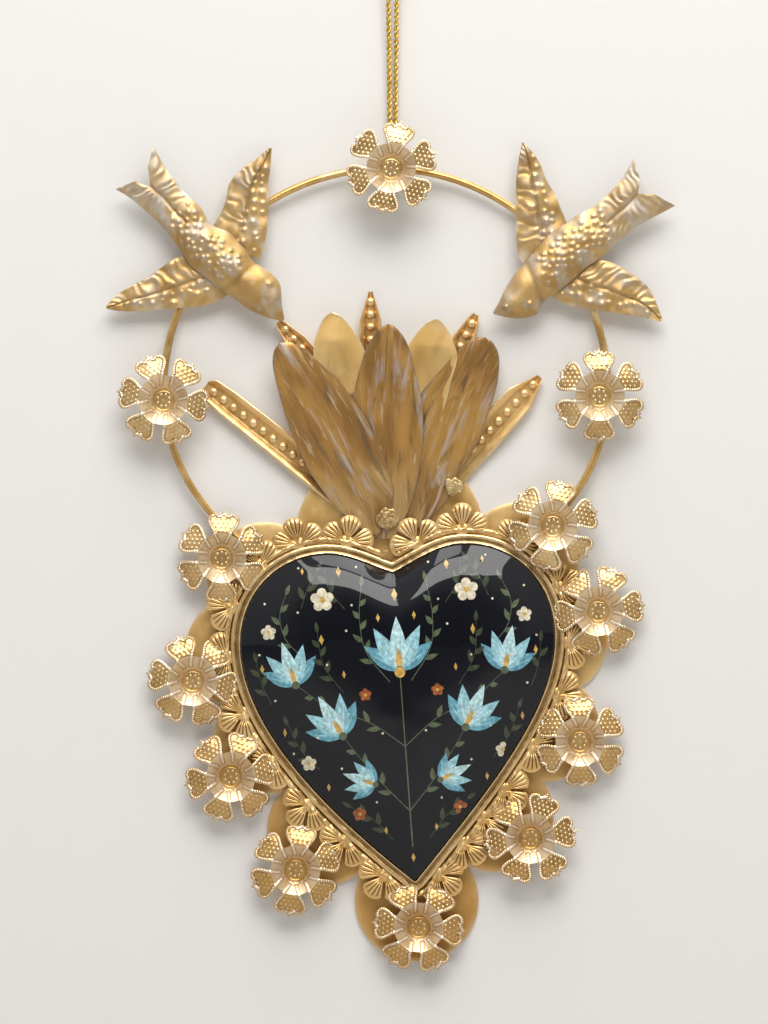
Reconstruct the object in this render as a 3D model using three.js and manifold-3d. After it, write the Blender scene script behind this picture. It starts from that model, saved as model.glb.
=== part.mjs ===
// A hanging tin heart: a folk wall ornament with a glossy domed heart, a wire hoop, two birds,
// twelve stamped flowers, a flame of petals and rays, and a loop of cord.
// Millimetres. X is right, Y goes into the wall, Z is up.
// The origin is the inside top of the cord loop, where the nail goes.

import * as THREE from 'three';
import { mergeVertices } from 'three/addons/utils/BufferGeometryUtils.js';
import Module from 'manifold-3d';

const wasm = await Module();
wasm.setup();

// Metal and gaps
const sheet = 0.4; // thin tin that is cut or stamped
const fit = 0.3; // gap left at each soldered or glued seat
const plateThickness = 0.8;
const wireRadius = 1.0;
const wallGap = 0.1; // between the cord's hitch and the wall

// Cord and hitch
const cordDiameter = 1.4;
const cordDrop = 63; // nail to the hoop's wire
const cordSteps = 36;
const strandSpread = 0.8; // each strand from the middle, at the hitch
const hitchWidth = 2.9;

// Hoop
const hoopRadius = 61.7;
const hoopCentreX = -1.9;
const hoopSteps = 44;
const hoopSeats = { left: { share: 0.254, out: 12 }, right: { share: 0.268, out: 9.8 } };
const hoopBendStart = 20; // degrees below the widest point, where the wire turns to the plate

// Heart, in its own frame: the origin is the cleft
const cleftDrop = 112.2; // hoop's wire to the cleft
const heartTilt = 4.2; // degrees, counterclockwise
const halfWidth = 43.6;
const lobeRise = 6.6;
const lobeCentre = 19;
const widestDrop = 19;
const heartDepth = 85.8;
const flank = { left: { x: 24.5, drop: 63.5 }, right: { x: 22, drop: 62 } };
const cleftSlope = { x: 6, rise: 2.4 };
const lobePull = { cleft: 7, side: 14 }; // how far the curve runs level from the top of the lobe
const sidePull = { above: 15, below: 21 }; // how far it runs straight at the widest point

// Domed heart, from the wall outwards
const shellThickness = 0.5;
const shellEdge = 3.2;
const domeRise = 8.4;
const printThickness = 0.2;
const resinEdge = 0.6;
const resinCrown = 1.2;
const domeCentreDrop = 22;
const domePoints = 15; // along each side
const domeScales = [1, 0.92, 0.75, 0.42];

// Bezel section: steps outwards from the heart, and heights above the wall
const bezelWidth = 3.2;
const bezelPoints = 22; // along each side
const lip = { width: 0.5, height: 5.0 };
const groove = { out: 1.2, height: 4.2 };
const ridge = { out: 2.3, height: 5.2, shoulder: 4.4 };

// Gallery of half daisies
const bandWidth = 1.8;
const fanLength = 7.2;
const fanRoot = 0.7;
const fanHalf = 2.1;
const fanSpread = 44; // degrees between the fans of one half daisy
const gallery = {
  left: { start: 1.5, first: 14, spacing: 12 },
  right: { start: fit, first: 9.8, spacing: 11.5 },
};

// Stamped flower
const discRadius = 3;
const rimRadius = 6.5;
const petalCount = 6;
const petal = {
  half: 4.2,
  widest: 9.6,
  shoulder: 11,
  lobe: 12.3,
  lobeHalf: 2.7,
  notch: 11.6,
  notchHalf: 0.8,
  tip: 13.4,
  drop: 0.6,
};

// Lobes of the back plate, along each side of the heart
const plateLobes = [
  { side: 'left', share: 0.27, out: 0.1, radius: 16.1 },
  { side: 'left', share: 0.42, out: 0.2, radius: 15.3 },
  { side: 'left', share: 0.6, out: 1.0, radius: 15.3 },
  { side: 'left', share: 0.8, out: 5.9, radius: 15.6 },
  { side: 'left', share: 1, out: 4.6, radius: 17.2 },
  { side: 'right', share: 0.8, out: 6.1, radius: 16.1 },
  { side: 'right', share: 0.61, out: 4.1, radius: 15.3 },
  { side: 'right', share: 0.445, out: -1.2, radius: 15.8 },
  { side: 'right', share: 0.27, out: 0.5, radius: 16.1 },
  { side: 'right', share: 0, out: 8.5, radius: 26.4 },
];

// Flowers on the plate's edge: place along the heart, distance out, and the first petal's angle
const plateFlowers = [
  { side: 'left', share: 0.287, out: 13.2, turn: 28 },
  { side: 'left', share: 0.458, out: 14.4, turn: 50 },
  { side: 'left', share: 0.619, out: 15.8, turn: 10 },
  { side: 'left', share: 0.815, out: 19.3, turn: 20 },
  { side: 'left', share: 1, out: 11.1, turn: 54 },
  { side: 'right', share: 0.797, out: 17.8, turn: 9 },
  { side: 'right', share: 0.604, out: 14.8, turn: 30 },
  { side: 'right', share: 0.403, out: 12.8, turn: 9 },
  { side: 'right', share: 0.275, out: 13.5, turn: 17, onWire: true },
];

// Flowers on the hoop: place round the hoop in degrees, and the first petal's angle
const hoopFlowers = [
  { name: 'flower_ring_top', at: 88.6, turn: 18.6, overHitch: true },
  { name: 'flower_ring_left', at: 182.4, turn: 50 },
  { name: 'flower_ring_right', at: -1.4, out: -2.4, turn: 30 },
];

// Birds
const birdLength = 58; // beak to tail
const chestRise = 3.2; // how far the stamped chest stands out
const tailRise = 0.8;
const wingRise = 0.6;

// Small solder
const padWidth = 0.8;
const padHeight = 1.6;
const solderSize = { flame: 1.6, ray: 1.7, cleft: 0.8 }; // radius of each blob
const solderHeight = 1.2;
const cleftSolderLeft = 2.1; // from the cleft to its blob

// Flame and rays
const flameHeight = 72; // cleft to the tips of the tallest petals
const flameLean = 0.06; // how far each petal leans out per millimetre of height
const flameLeanStep = 0.02; // more for each petal in front
const leanStart = 20.3;
const rayFlange = 1.2;
const beadRadius = 1.2;
const beadHeight = 0.6;
const beadSpacing = 3.5;
const rayTipLength = 1.6;
const rayShoulder = 8; // from the tip to where the ray has its second width
const rayFade = 8; // over which the folded edges run out under the flame

// Seats above the wall: the pieces are stacked one sheet on the next
const wallY = wireRadius + fit + cordDiameter + wallGap;
const layer = (n) => plateThickness + fit + (n - 1) * (sheet + fit);
const seat = { ray: layer(1), right: layer(2), centre: layer(3), left: layer(4), gallery: layer(5) };
const cupDepth = ridge.height + fit + petal.drop - layer(1);
const wireSeatY = wallY - (plateThickness + fit + wireRadius);
const hitchRadius = wireRadius + fit + cordDiameter;

const rad = THREE.MathUtils.degToRad;
const point = (x, lift, z) => new THREE.Vector3(x, wallY - lift, z);
const mix = (a, b, t) => a + (b - a) * t;

// A closed body made of a front skin, a back skin and the walls between them

class Skin {
  constructor() {
    this.corners = [];
  }

  face(a, b, c) {
    this.corners.push(a, b, c);
  }

  wall(a, b, backA, backB) {
    this.face(a, b, backB);
    this.face(a, backB, backA);
  }

  // joins two rows of points that may differ in number
  stitch(rowA, rowB, flip = false) {
    const endA = rowA.length - 1;
    const endB = rowB.length - 1;
    let a = 0;
    let b = 0;
    while (a < endA || b < endB) {
      const takeA = b === endB || (a < endA && (a + 1) / endA <= (b + 1) / endB);
      const third = takeA ? rowA[a + 1] : rowB[b + 1];
      if (flip) this.face(rowA[a], third, rowB[b]);
      else this.face(rowA[a], rowB[b], third);
      if (takeA) a += 1;
      else b += 1;
    }
  }

  band(frontA, frontB, backA, backB) {
    this.stitch(frontA, frontB);
    this.stitch(backA, backB, true);
  }

  endWall(front, back, last = false) {
    for (let i = 0; i + 1 < front.length; i += 1) {
      if (last) this.wall(front[i + 1], front[i], back[i + 1], back[i]);
      else this.wall(front[i], front[i + 1], back[i], back[i + 1]);
    }
  }

  sideWalls(frontA, frontB, backA, backB) {
    this.wall(frontB[0], frontA[0], backB[0], backA[0]);
    this.wall(frontA.at(-1), frontB.at(-1), backA.at(-1), backB.at(-1));
  }

  geometry() {
    const geometry = new THREE.BufferGeometry().setFromPoints(this.corners);
    const merged = mergeVertices(geometry, 1e-4);
    return volume(merged) < 0 ? inverted(merged) : merged;
  }
}

function volume(geometry) {
  const { index, attributes } = geometry;
  const [a, b, c] = [new THREE.Vector3(), new THREE.Vector3(), new THREE.Vector3()];
  let sum = 0;
  for (let i = 0; i < index.count; i += 3) {
    a.fromBufferAttribute(attributes.position, index.getX(i));
    b.fromBufferAttribute(attributes.position, index.getX(i + 1));
    c.fromBufferAttribute(attributes.position, index.getX(i + 2));
    sum += a.dot(b.cross(c));
  }
  return sum / 6;
}

function inverted(geometry) {
  const { index } = geometry;
  for (let i = 0; i < index.count; i += 3) {
    const swap = index.getX(i);
    index.setX(i, index.getX(i + 1));
    index.setX(i + 1, swap);
  }
  return geometry;
}

const behind = (rows, depth) => rows.map((row) => row.map((p) => p.clone().setY(p.y + depth)));
const looped = (row) => (row.length > 1 ? [...row, row[0]] : row);

// A bent sheet from open rows of points
function sheetFrom(front, back = behind(front, sheet)) {
  const skin = new Skin();
  for (let i = 0; i + 1 < front.length; i += 1) {
    skin.band(front[i], front[i + 1], back[i], back[i + 1]);
    skin.sideWalls(front[i], front[i + 1], back[i], back[i + 1]);
  }
  skin.endWall(front[0], back[0]);
  skin.endWall(front.at(-1), back.at(-1), true);
  return skin.geometry();
}

// A dome or cup from closed rings, from the rim to a single middle point
function domeFrom(front, back) {
  const skin = new Skin();
  for (let i = 0; i + 1 < front.length; i += 1) {
    skin.band(looped(front[i]), looped(front[i + 1]), looped(back[i]), looped(back[i + 1]));
  }
  skin.endWall(looped(front[0]), looped(back[0]));
  return skin.geometry();
}

// A closed section carried round a closed path
function ringFrom(sections) {
  const skin = new Skin();
  sections.forEach((section, i) => {
    skin.stitch(looped(section), looped(sections[(i + 1) % sections.length]));
  });
  return skin.geometry();
}

// Joining and cutting of closed bodies

function toSolid(geometry) {
  const bare = geometry.clone();
  bare.deleteAttribute('normal');
  bare.deleteAttribute('uv');
  const merged = mergeVertices(bare, 1e-4);
  const vertProperties = Float32Array.from(merged.attributes.position.array);
  const triVerts = Uint32Array.from(merged.index.array);
  return new wasm.Manifold(new wasm.Mesh({ numProp: 3, vertProperties, triVerts }));
}

function toGeometry(solid) {
  const { vertProperties, triVerts } = solid.getMesh();
  const geometry = new THREE.BufferGeometry();
  geometry.setAttribute('position', new THREE.BufferAttribute(Float32Array.from(vertProperties), 3));
  geometry.setIndex(new THREE.BufferAttribute(Uint32Array.from(triVerts), 1));
  return geometry;
}

const joined = (geometries) => toGeometry(geometries.map(toSolid).reduce((a, b) => a.add(b)));

// A flat plate from an outline in X and Z, between two heights above the wall
function flatPiece(outline, low, high) {
  const shape = new THREE.Shape(outline.map(([x, z]) => new THREE.Vector2(x, z)));
  const geometry = new THREE.ExtrudeGeometry(shape, { depth: high - low, bevelEnabled: false });
  return geometry.rotateX(Math.PI / 2).translate(0, wallY - low, 0);
}

function circle(x, z, radius, count) {
  return Array.from({ length: count }, (_, i) => {
    const angle = (2 * Math.PI * i) / count;
    return [x + radius * Math.cos(angle), z + radius * Math.sin(angle)];
  });
}

// The heart's outline: one curve for each side, from the cleft to the tip

function heartSide(side) {
  const sign = side === 'left' ? -1 : 1;
  const at = (x, z) => new THREE.Vector2(sign * x, z);
  const low = flank[side];
  const corners = [
    [[0, 0], [cleftSlope.x, cleftSlope.rise], [lobeCentre - lobePull.cleft, lobeRise]],
    [
      [lobeCentre, lobeRise],
      [lobeCentre + lobePull.side, lobeRise],
      [halfWidth, sidePull.above - widestDrop],
    ],
    [[halfWidth, -widestDrop], [halfWidth, -widestDrop - sidePull.below], [low.x, -low.drop]],
    [[0, -heartDepth]],
  ];
  const path = new THREE.CurvePath();
  for (let i = 0; i < 3; i += 1) {
    const [from, pullFrom, pullTo] = corners[i].map(([x, z]) => at(x, z));
    path.add(new THREE.CubicBezierCurve(from, pullFrom, pullTo, at(...corners[i + 1][0])));
  }
  return path;
}

const sides = { left: heartSide('left'), right: heartSide('right') };
const sideLength = { left: sides.left.getLength(), right: sides.right.getLength() };
const cleftStretch = Math.hypot(cleftSlope.x, cleftSlope.rise) / cleftSlope.x;
const tipStretch = 1.15;

// a point of the outline, moved outwards, with the outward direction
function onHeart(side, share, out) {
  if (share <= 0) return { x: 0, z: out * cleftStretch, angle: Math.PI / 2 };
  if (share >= 1) return { x: 0, z: -heartDepth - out * tipStretch, angle: -Math.PI / 2 };
  const p = sides[side].getPointAt(share);
  const t = sides[side].getTangentAt(share);
  const [nx, nz] = side === 'left' ? [t.y, -t.x] : [-t.y, t.x];
  return { x: p.x + nx * out, z: p.y + nz * out, angle: Math.atan2(nz, nx) };
}

// the whole outline clockwise from the cleft, with the same number of steps on each side
function heartOutline(steps, out) {
  const right = Array.from({ length: steps + 1 }, (_, i) => onHeart('right', i / steps, out));
  const left = Array.from({ length: steps - 1 }, (_, i) => onHeart('left', 1 - (i + 1) / steps, out));
  return [...right, ...left];
}

const cleftZ = -cordDrop - cleftDrop;

// from the heart's frame to the part's
function fromHeart({ x, z }) {
  const turn = rad(heartTilt);
  return {
    x: x * Math.cos(turn) - z * Math.sin(turn),
    z: cleftZ + x * Math.sin(turn) + z * Math.cos(turn),
  };
}

// Hoop of wire

const hoopCentreZ = -cordDrop - Math.sqrt(hoopRadius ** 2 - hoopCentreX ** 2);

function hoopEnd(side) {
  const { share, out } = hoopSeats[side];
  const end = fromHeart(onHeart(side, share, out));
  const across = Math.min(1, Math.abs(end.x - hoopCentreX) / hoopRadius);
  const angle = Math.acos(across);
  return { angle, drop: (hoopCentreZ - end.z) / Math.sin(angle) };
}

class HoopPath extends THREE.Curve {
  constructor() {
    super();
    this.left = hoopEnd('left');
    this.right = hoopEnd('right');
  }

  getPoint(t, target = new THREE.Vector3()) {
    const angle = mix(Math.PI + this.left.angle, -this.right.angle, t);
    const end = Math.cos(angle) < 0 ? this.left : this.right;
    const below = Math.sin(angle) < 0;
    const bendStart = rad(hoopBendStart);
    const depth = Math.asin(Math.min(1, Math.max(0, -Math.sin(angle))));
    const bend = THREE.MathUtils.smoothstep(depth, bendStart, end.angle);
    return target.set(
      hoopCentreX + hoopRadius * Math.cos(angle),
      wireSeatY * bend,
      hoopCentreZ + (below ? end.drop : hoopRadius) * Math.sin(angle),
    );
  }
}

function tube(path, radius, sidesCount, steps) {
  const section = new THREE.Shape(circle(0, 0, radius, sidesCount).map(([x, y]) => new THREE.Vector2(x, y)));
  return new THREE.ExtrudeGeometry(section, { extrudePath: path, steps, bevelEnabled: false });
}

const onHoop = (degrees, out = 0) => ({
  x: hoopCentreX + (hoopRadius + out) * Math.cos(rad(degrees)),
  z: hoopCentreZ + (hoopRadius + out) * Math.sin(rad(degrees)),
});

// Cord: up from the hitch, round the nail and back down

const cordStart = -cordDrop + hitchRadius + fit;
const cordSide = [
  [strandSpread, cordStart], [strandSpread, -54], [0.83, -46], [0.9, -38], [1.0, -30], [1.1, -22], [1.2, -16],
  [1.6, -11.5], [2.4, -7.6], [3.15, -4.6], [3.35, -2.3], [2.6, -0.2], [1.4, 0.55],
];

function cordRoute() {
  const up = cordSide.map(([x, z]) => new THREE.Vector3(-x, 0, z));
  const top = new THREE.Vector3(0, 0, cordDiameter / 2);
  const down = cordSide.map(([x, z]) => new THREE.Vector3(x, 0, z)).reverse();
  return new THREE.CatmullRomCurve3([...up, top, ...down], false, 'centripetal');
}

function hitch() {
  const inner = wireRadius + fit;
  const outer = hitchRadius;
  const half = hitchWidth / 2;
  const dip = cordDiameter * 0.2;
  const profile = [
    [inner, -half + dip], [inner + dip, -half], [outer - dip, -half], [outer, -half / 2],
    [outer - dip, 0], [outer, half / 2], [outer - dip, half], [inner + dip, half], [inner, half - dip],
    [inner, -half + dip],
  ].map(([r, x]) => new THREE.Vector2(r, x));
  return new THREE.LatheGeometry(profile, 12).rotateZ(-Math.PI / 2);
}

// Back plate

function backPlate() {
  const lobes = plateLobes.map(({ side, share, out, radius }) => {
    const { x, z } = onHeart(side, share, out);
    return flatPiece(circle(x, z, radius, 22), 0, plateThickness);
  });
  const middle = heartOutline(12, bezelWidth).map(({ x, z }) => [x, z]);
  return joined([flatPiece(middle, 0, plateThickness), ...lobes]);
}

// Domed heart: shell, print and resin share one profile

const domeShape = (scale) => (1 - scale ** 2.4) ** 0.6;

function domeRings(scales, liftAt, inset = fit) {
  const rim = heartOutline(domePoints, -inset);
  const rings = scales.map((scale) => rim.map(({ x, z }) => point(
    x * scale, liftAt(scale), -domeCentreDrop + (z + domeCentreDrop) * scale)));
  return [...rings, [point(0, liftAt(0), -domeCentreDrop)]];
}

const shellTop = (scale) => shellEdge + domeRise * domeShape(scale);
const printBack = (scale) => shellTop(scale) + fit;
const printTop = (scale) => printBack(scale) + printThickness;
const resinBack = (scale) => printTop(scale) + fit;
const resinTop = (scale) => resinBack(scale) + mix(resinEdge, resinCrown, domeShape(scale));

function heartShell() {
  const foot = plateThickness + fit;
  const outside = domeRings(domeScales, shellTop);
  const inside = domeRings(domeScales, (scale) => shellTop(scale) - shellThickness, fit + shellThickness);
  const atFoot = (ring) => ring.map((p) => p.clone().setY(wallY - foot));
  return domeFrom([atFoot(outside[0]), ...outside], [atFoot(inside[0]), ...inside]);
}

const heartPrint = () => domeFrom(domeRings(domeScales, printTop), domeRings(domeScales, printBack));
const heartResin = () => domeFrom(domeRings(domeScales, resinTop), domeRings(domeScales, resinBack));

// Bezel: one section carried round the heart

function bezel() {
  const foot = plateThickness + fit;
  const section = [
    [0, foot], [0, lip.height - 0.1], [lip.width, lip.height], [groove.out, groove.height],
    [ridge.out, ridge.height], [bezelWidth, ridge.shoulder], [bezelWidth, foot],
  ];
  const rims = section.map(([out]) => heartOutline(bezelPoints, out));
  const sectionAt = (i) => section.map(([, lift], k) => point(rims[k][i].x, lift, rims[k][i].z));
  return ringFrom(rims[0].map((_, i) => sectionAt(i)));
}

// Gallery: a band round the bezel with fans in threes, cut clear of the flowers' cups

function fan(root, angle) {
  const shape = [
    [0, -fanRoot], [fanLength * 0.8, -fanHalf], [fanLength * 0.95, -fanHalf * 0.6], [fanLength, 0],
    [fanLength * 0.95, fanHalf * 0.6], [fanLength * 0.8, fanHalf], [0, fanRoot],
  ];
  return shape.map(([along, across]) => [
    root.x + along * Math.cos(angle) - across * Math.sin(angle),
    root.z + along * Math.sin(angle) + across * Math.cos(angle),
  ]);
}

function galleryStrip(side) {
  const { start, first, spacing } = gallery[side];
  const length = sideLength[side];
  const low = seat.gallery;
  const high = low + sheet;
  const inner = bezelWidth + fit;
  const outer = inner + bandWidth;
  const steps = 24;
  const clear = (outer * cleftSlope.rise) / cleftSlope.x;
  const front = Array.from({ length: steps + 1 }, (_, i) => {
    const share = mix(clear + start, length - fit, i / steps) / length;
    return [inner, outer].map((out) => {
      const { x, z } = onHeart(side, share, out);
      return point(x, high, z);
    });
  });
  const fans = [];
  for (let along = first; along < length - spacing / 3; along += spacing) {
    const root = onHeart(side, along / length, outer - sheet);
    for (const step of [-1, 0, 1]) {
      fans.push(flatPiece(fan(root, root.angle + step * rad(fanSpread)), low, high));
    }
  }
  let strip = [sheetFrom(front), ...fans].map(toSolid).reduce((a, b) => a.add(b));
  for (const item of plateFlowers) {
    const { x, z } = onHeart(item.side, item.share, item.out);
    const share = Math.max(0, (high - flowerSeat(item)) / cupDepth);
    const radius = mix(discRadius, rimRadius, Math.min(1, share)) + 2 * fit;
    strip = strip.subtract(toSolid(flatPiece(circle(x, z, radius, 16), low - fit, high + fit)));
  }
  const pieces = strip.decompose().sort((a, b) => b.volume() - a.volume());
  return toGeometry(pieces[0]);
}

// Stamped flower: a disc, a cup and six heart-shaped petals, with the disc's back at the origin

const flowerSeat = ({ onWire }) => (onWire ? plateThickness + 2 * fit + 2 * wireRadius : layer(1));

function flower() {
  const skin = new Skin();
  const at = (radius, angle, lift) => new THREE.Vector3(
    radius * Math.cos(angle), -lift, radius * Math.sin(angle));
  const both = (radius, angle, lift) => [at(radius, angle, lift + sheet), at(radius, angle, lift)];
  const ring = (count, radius, lift) => Array.from({ length: count }, (_, i) => (
    both(radius, (2 * Math.PI * (i - 1)) / count, lift)));
  const perPetal = 3;
  const around = perPetal * petalCount;
  const rings = [[both(0, 0, 0)], ring(around / 2, discRadius, 0), ring(around, rimRadius, cupDepth)];
  const [fronts, backs] = [0, 1].map((k) => rings.map((row) => row.map((pair) => pair[k])));
  for (let i = 0; i < 2; i += 1) {
    skin.band(looped(fronts[i]), looped(fronts[i + 1]), looped(backs[i]), looped(backs[i + 1]));
  }
  const fall = petal.drop / (petal.tip - rimRadius);
  const outline = [
    [[petal.widest, -petal.half], [petal.widest, 0], [petal.widest, petal.half]],
    [
      [petal.shoulder, -petal.half], [petal.lobe, -petal.lobeHalf], [petal.notch, -petal.notchHalf],
      [petal.tip, 0],
      [petal.notch, petal.notchHalf], [petal.lobe, petal.lobeHalf], [petal.shoulder, petal.half],
    ],
  ];
  for (let k = 0; k < petalCount; k += 1) {
    const angle = (2 * Math.PI * k) / petalCount;
    const lifted = ([along, across]) => both(
      Math.hypot(along, across), angle + Math.atan2(across, along), cupDepth - fall * (along - rimRadius));
    const rows = outline.map((row) => row.map(lifted));
    const base = (set) => [0, 1, 2].map((i) => set[2][(k * perPetal + i) % around]);
    const front = [base(fronts), ...rows.map((row) => row.map((pair) => pair[0]))];
    const back = [base(backs), ...rows.map((row) => row.map((pair) => pair[1]))];
    for (let i = 0; i < 2; i += 1) {
      skin.band(front[i], front[i + 1], back[i], back[i + 1]);
      skin.sideWalls(front[i], front[i + 1], back[i], back[i + 1]);
    }
    skin.endWall(front[2], back[2], true);
    const next = (k * perPetal + perPetal) % around;
    skin.endWall([front[0][2], fronts[2][next]], [back[0][2], backs[2][next]], true);
  }
  return skin.geometry();
}

// Flame petals: leaning sheets, each drawn by its left and right edge from the cleft upwards,
// in hundredths of the flame's height
const inFlame = (hundredths) => (hundredths * flameHeight) / 100;

const flamePetals = {
  flame_petal_left: {
    seat: seat.left,
    order: 2,
    left: [
      [-6, 14.3], [-12.2, 16.9], [-16.7, 20.7], [-22.6, 26.2], [-31, 37.4], [-38.5, 52.6],
      [-43.5, 67.9], [-45.8, 80.4], [-45.1, 87.6],
    ],
    right: [
      [-4.4, 16.5], [-2.9, 22.4], [0.3, 29.7], [-1, 37.4], [-4.4, 47.1], [-12.2, 62.6],
      [-22.6, 75.6], [-35, 86.2], [-41.9, 89.6],
    ],
  },
  flame_petal_centre: {
    seat: seat.centre,
    order: 1,
    left: [
      [-6, 13.1], [-10.3, 26.2], [-13.3, 39.7], [-15.3, 55.1], [-15.3, 66.8], [-13.9, 74.2],
      [-12.2, 80.4], [-7.2, 92.2], [-3.3, 96],
    ],
    right: [
      [1, 13.1], [6.9, 26.2], [10.4, 40.1], [11.8, 55.4], [11.2, 66.8], [9.6, 74.2],
      [7.9, 81.1], [3.2, 92.2], [-0.1, 95.8],
    ],
  },
  flame_petal_right: {
    seat: seat.right,
    order: 0,
    left: [
      [6, 16.5], [3.6, 26.2], [4.4, 39.7], [6.8, 55.1], [11.4, 69.3], [19.2, 79],
      [26.8, 86.9], [33.1, 91.4],
    ],
    right: [
      [10.6, 17.4], [21.1, 28.6], [24.6, 37.4], [33.1, 50.6], [37.9, 64.4], [40.7, 75],
      [40.7, 83.3], [38.5, 90.1],
    ],
  },
  flame_back_left: {
    seat: seat.right - sheet - fit,
    order: 0,
    left: [[-15.7, 43.6], [-24.2, 59], [-28.7, 72.5], [-30, 90.1], [-26.4, 99.2]],
    right: [[-7.9, 43.6], [-7.1, 59], [-7.9, 72.5], [-13.6, 91.5], [-20.6, 98.8]],
  },
  flame_back_right: {
    seat: seat.right - sheet - fit,
    order: 0,
    left: [[2.1, 43.6], [2.1, 59], [2.9, 72.5], [8.8, 92.2], [15.3, 97.8]],
    right: [[12.5, 43.6], [18.3, 59], [22.2, 72.5], [23.5, 90.1], [18.3, 97.8]],
  },
};

function flamePetal({ seat: low, order, left, right }) {
  const lean = flameLean + flameLeanStep * order;
  const across = 2;
  const rows = left.map(([x, z], i) => Array.from({ length: across + 1 }, (_, k) => {
    const px = inFlame(mix(x, right[i][0], k / across));
    const pz = inFlame(mix(z, right[i][1], k / across));
    return point(px, low + sheet + lean * Math.max(0, pz - leanStart), pz);
  }));
  return sheetFrom(rows);
}

// Rays: channels with folded edges and a row of beads, from the tip to a flat tail under the flame,
// also in hundredths of the flame's height

const rays = {
  ray_low_left: {
    tip: [-72.2, 72.2], angle: -38.3, length: 73.6,
    width: [8.9, 10.4, 11.5], channel: 55.6, beads: 10,
  },
  ray_high_left: {
    tip: [-44.2, 96.8], angle: -47.8, length: 37.5,
    width: [4.4, 7.6, 7.6], channel: 27.8, beads: 3,
  },
  ray_top: {
    tip: [-8.5, 108.5], angle: -90, length: 52.8,
    width: [2.9, 8.3, 9.7], channel: 31.9, beads: 4,
  },
  ray_high_right: {
    tip: [32.2, 99.7], angle: -115.8, length: 45.8,
    width: [4.6, 8.9, 9.7], channel: 25, beads: 3,
  },
  ray_low_right: {
    tip: [56.9, 75.6], angle: -133, length: 56.9,
    width: [4.2, 11.1, 12.5], channel: 27.8, beads: 8,
  },
};

// a low dome that stands in the sheet by half its thickness
function bead() {
  const profile = [
    [0, -sheet / 2], [beadRadius, -sheet / 2], [beadRadius, beadHeight / 4],
    [beadRadius * 0.7, beadHeight * 0.8], [0, beadHeight],
  ].map(([r, h]) => new THREE.Vector2(r, h));
  return new THREE.LatheGeometry(profile, 8).rotateX(Math.PI);
}

function ray({ tip, angle, length, width, channel, beads }) {
  const low = seat.ray;
  const direction = rad(angle);
  const place = (along, across, lift) => point(
    inFlame(tip[0]) + along * Math.cos(direction) - across * Math.sin(direction), lift,
    inFlame(tip[1]) + along * Math.sin(direction) + across * Math.cos(direction));
  const widths = width.map(inFlame);
  const [fold, end] = [inFlame(channel), inFlame(length)];
  const stations = [
    [0, widths[0] * 0.55, 0.5], [rayTipLength, widths[0], 1], [rayShoulder, widths[1], 1],
    [fold, widths[2], 1], [fold + rayFade, widths[2], 0], [end, widths[2], 0],
  ];
  const front = [];
  const back = [];
  for (const [along, wide, share] of stations) {
    const half = wide / 2;
    const top = low + sheet + rayFlange * share;
    const inset = share > 0 ? sheet : 0;
    const edge = share > 0 ? top : low + sheet / 2;
    front.push([
      place(along, inset - half, top), place(along, sheet - half, low + sheet),
      place(along, half - sheet, low + sheet), place(along, half - inset, top),
    ]);
    back.push([
      place(along, -half, edge), place(along, -half, low), place(along, half, low), place(along, half, edge),
    ]);
  }
  const body = [sheetFrom(front, back)];
  for (let i = 0; i < beads; i += 1) {
    const along = rayTipLength + beadRadius + i * beadSpacing;
    const { x, y, z } = place(along, 0, low + sheet);
    body.push(bead().translate(x, y, z));
  }
  return joined(body);
}

// Birds: each is a stamped body with its tail over two wings; X and Z start at the bird's middle,
// in hundredths of the bird's length. A row runs across the piece, from its upper edge to its lower edge.

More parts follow.
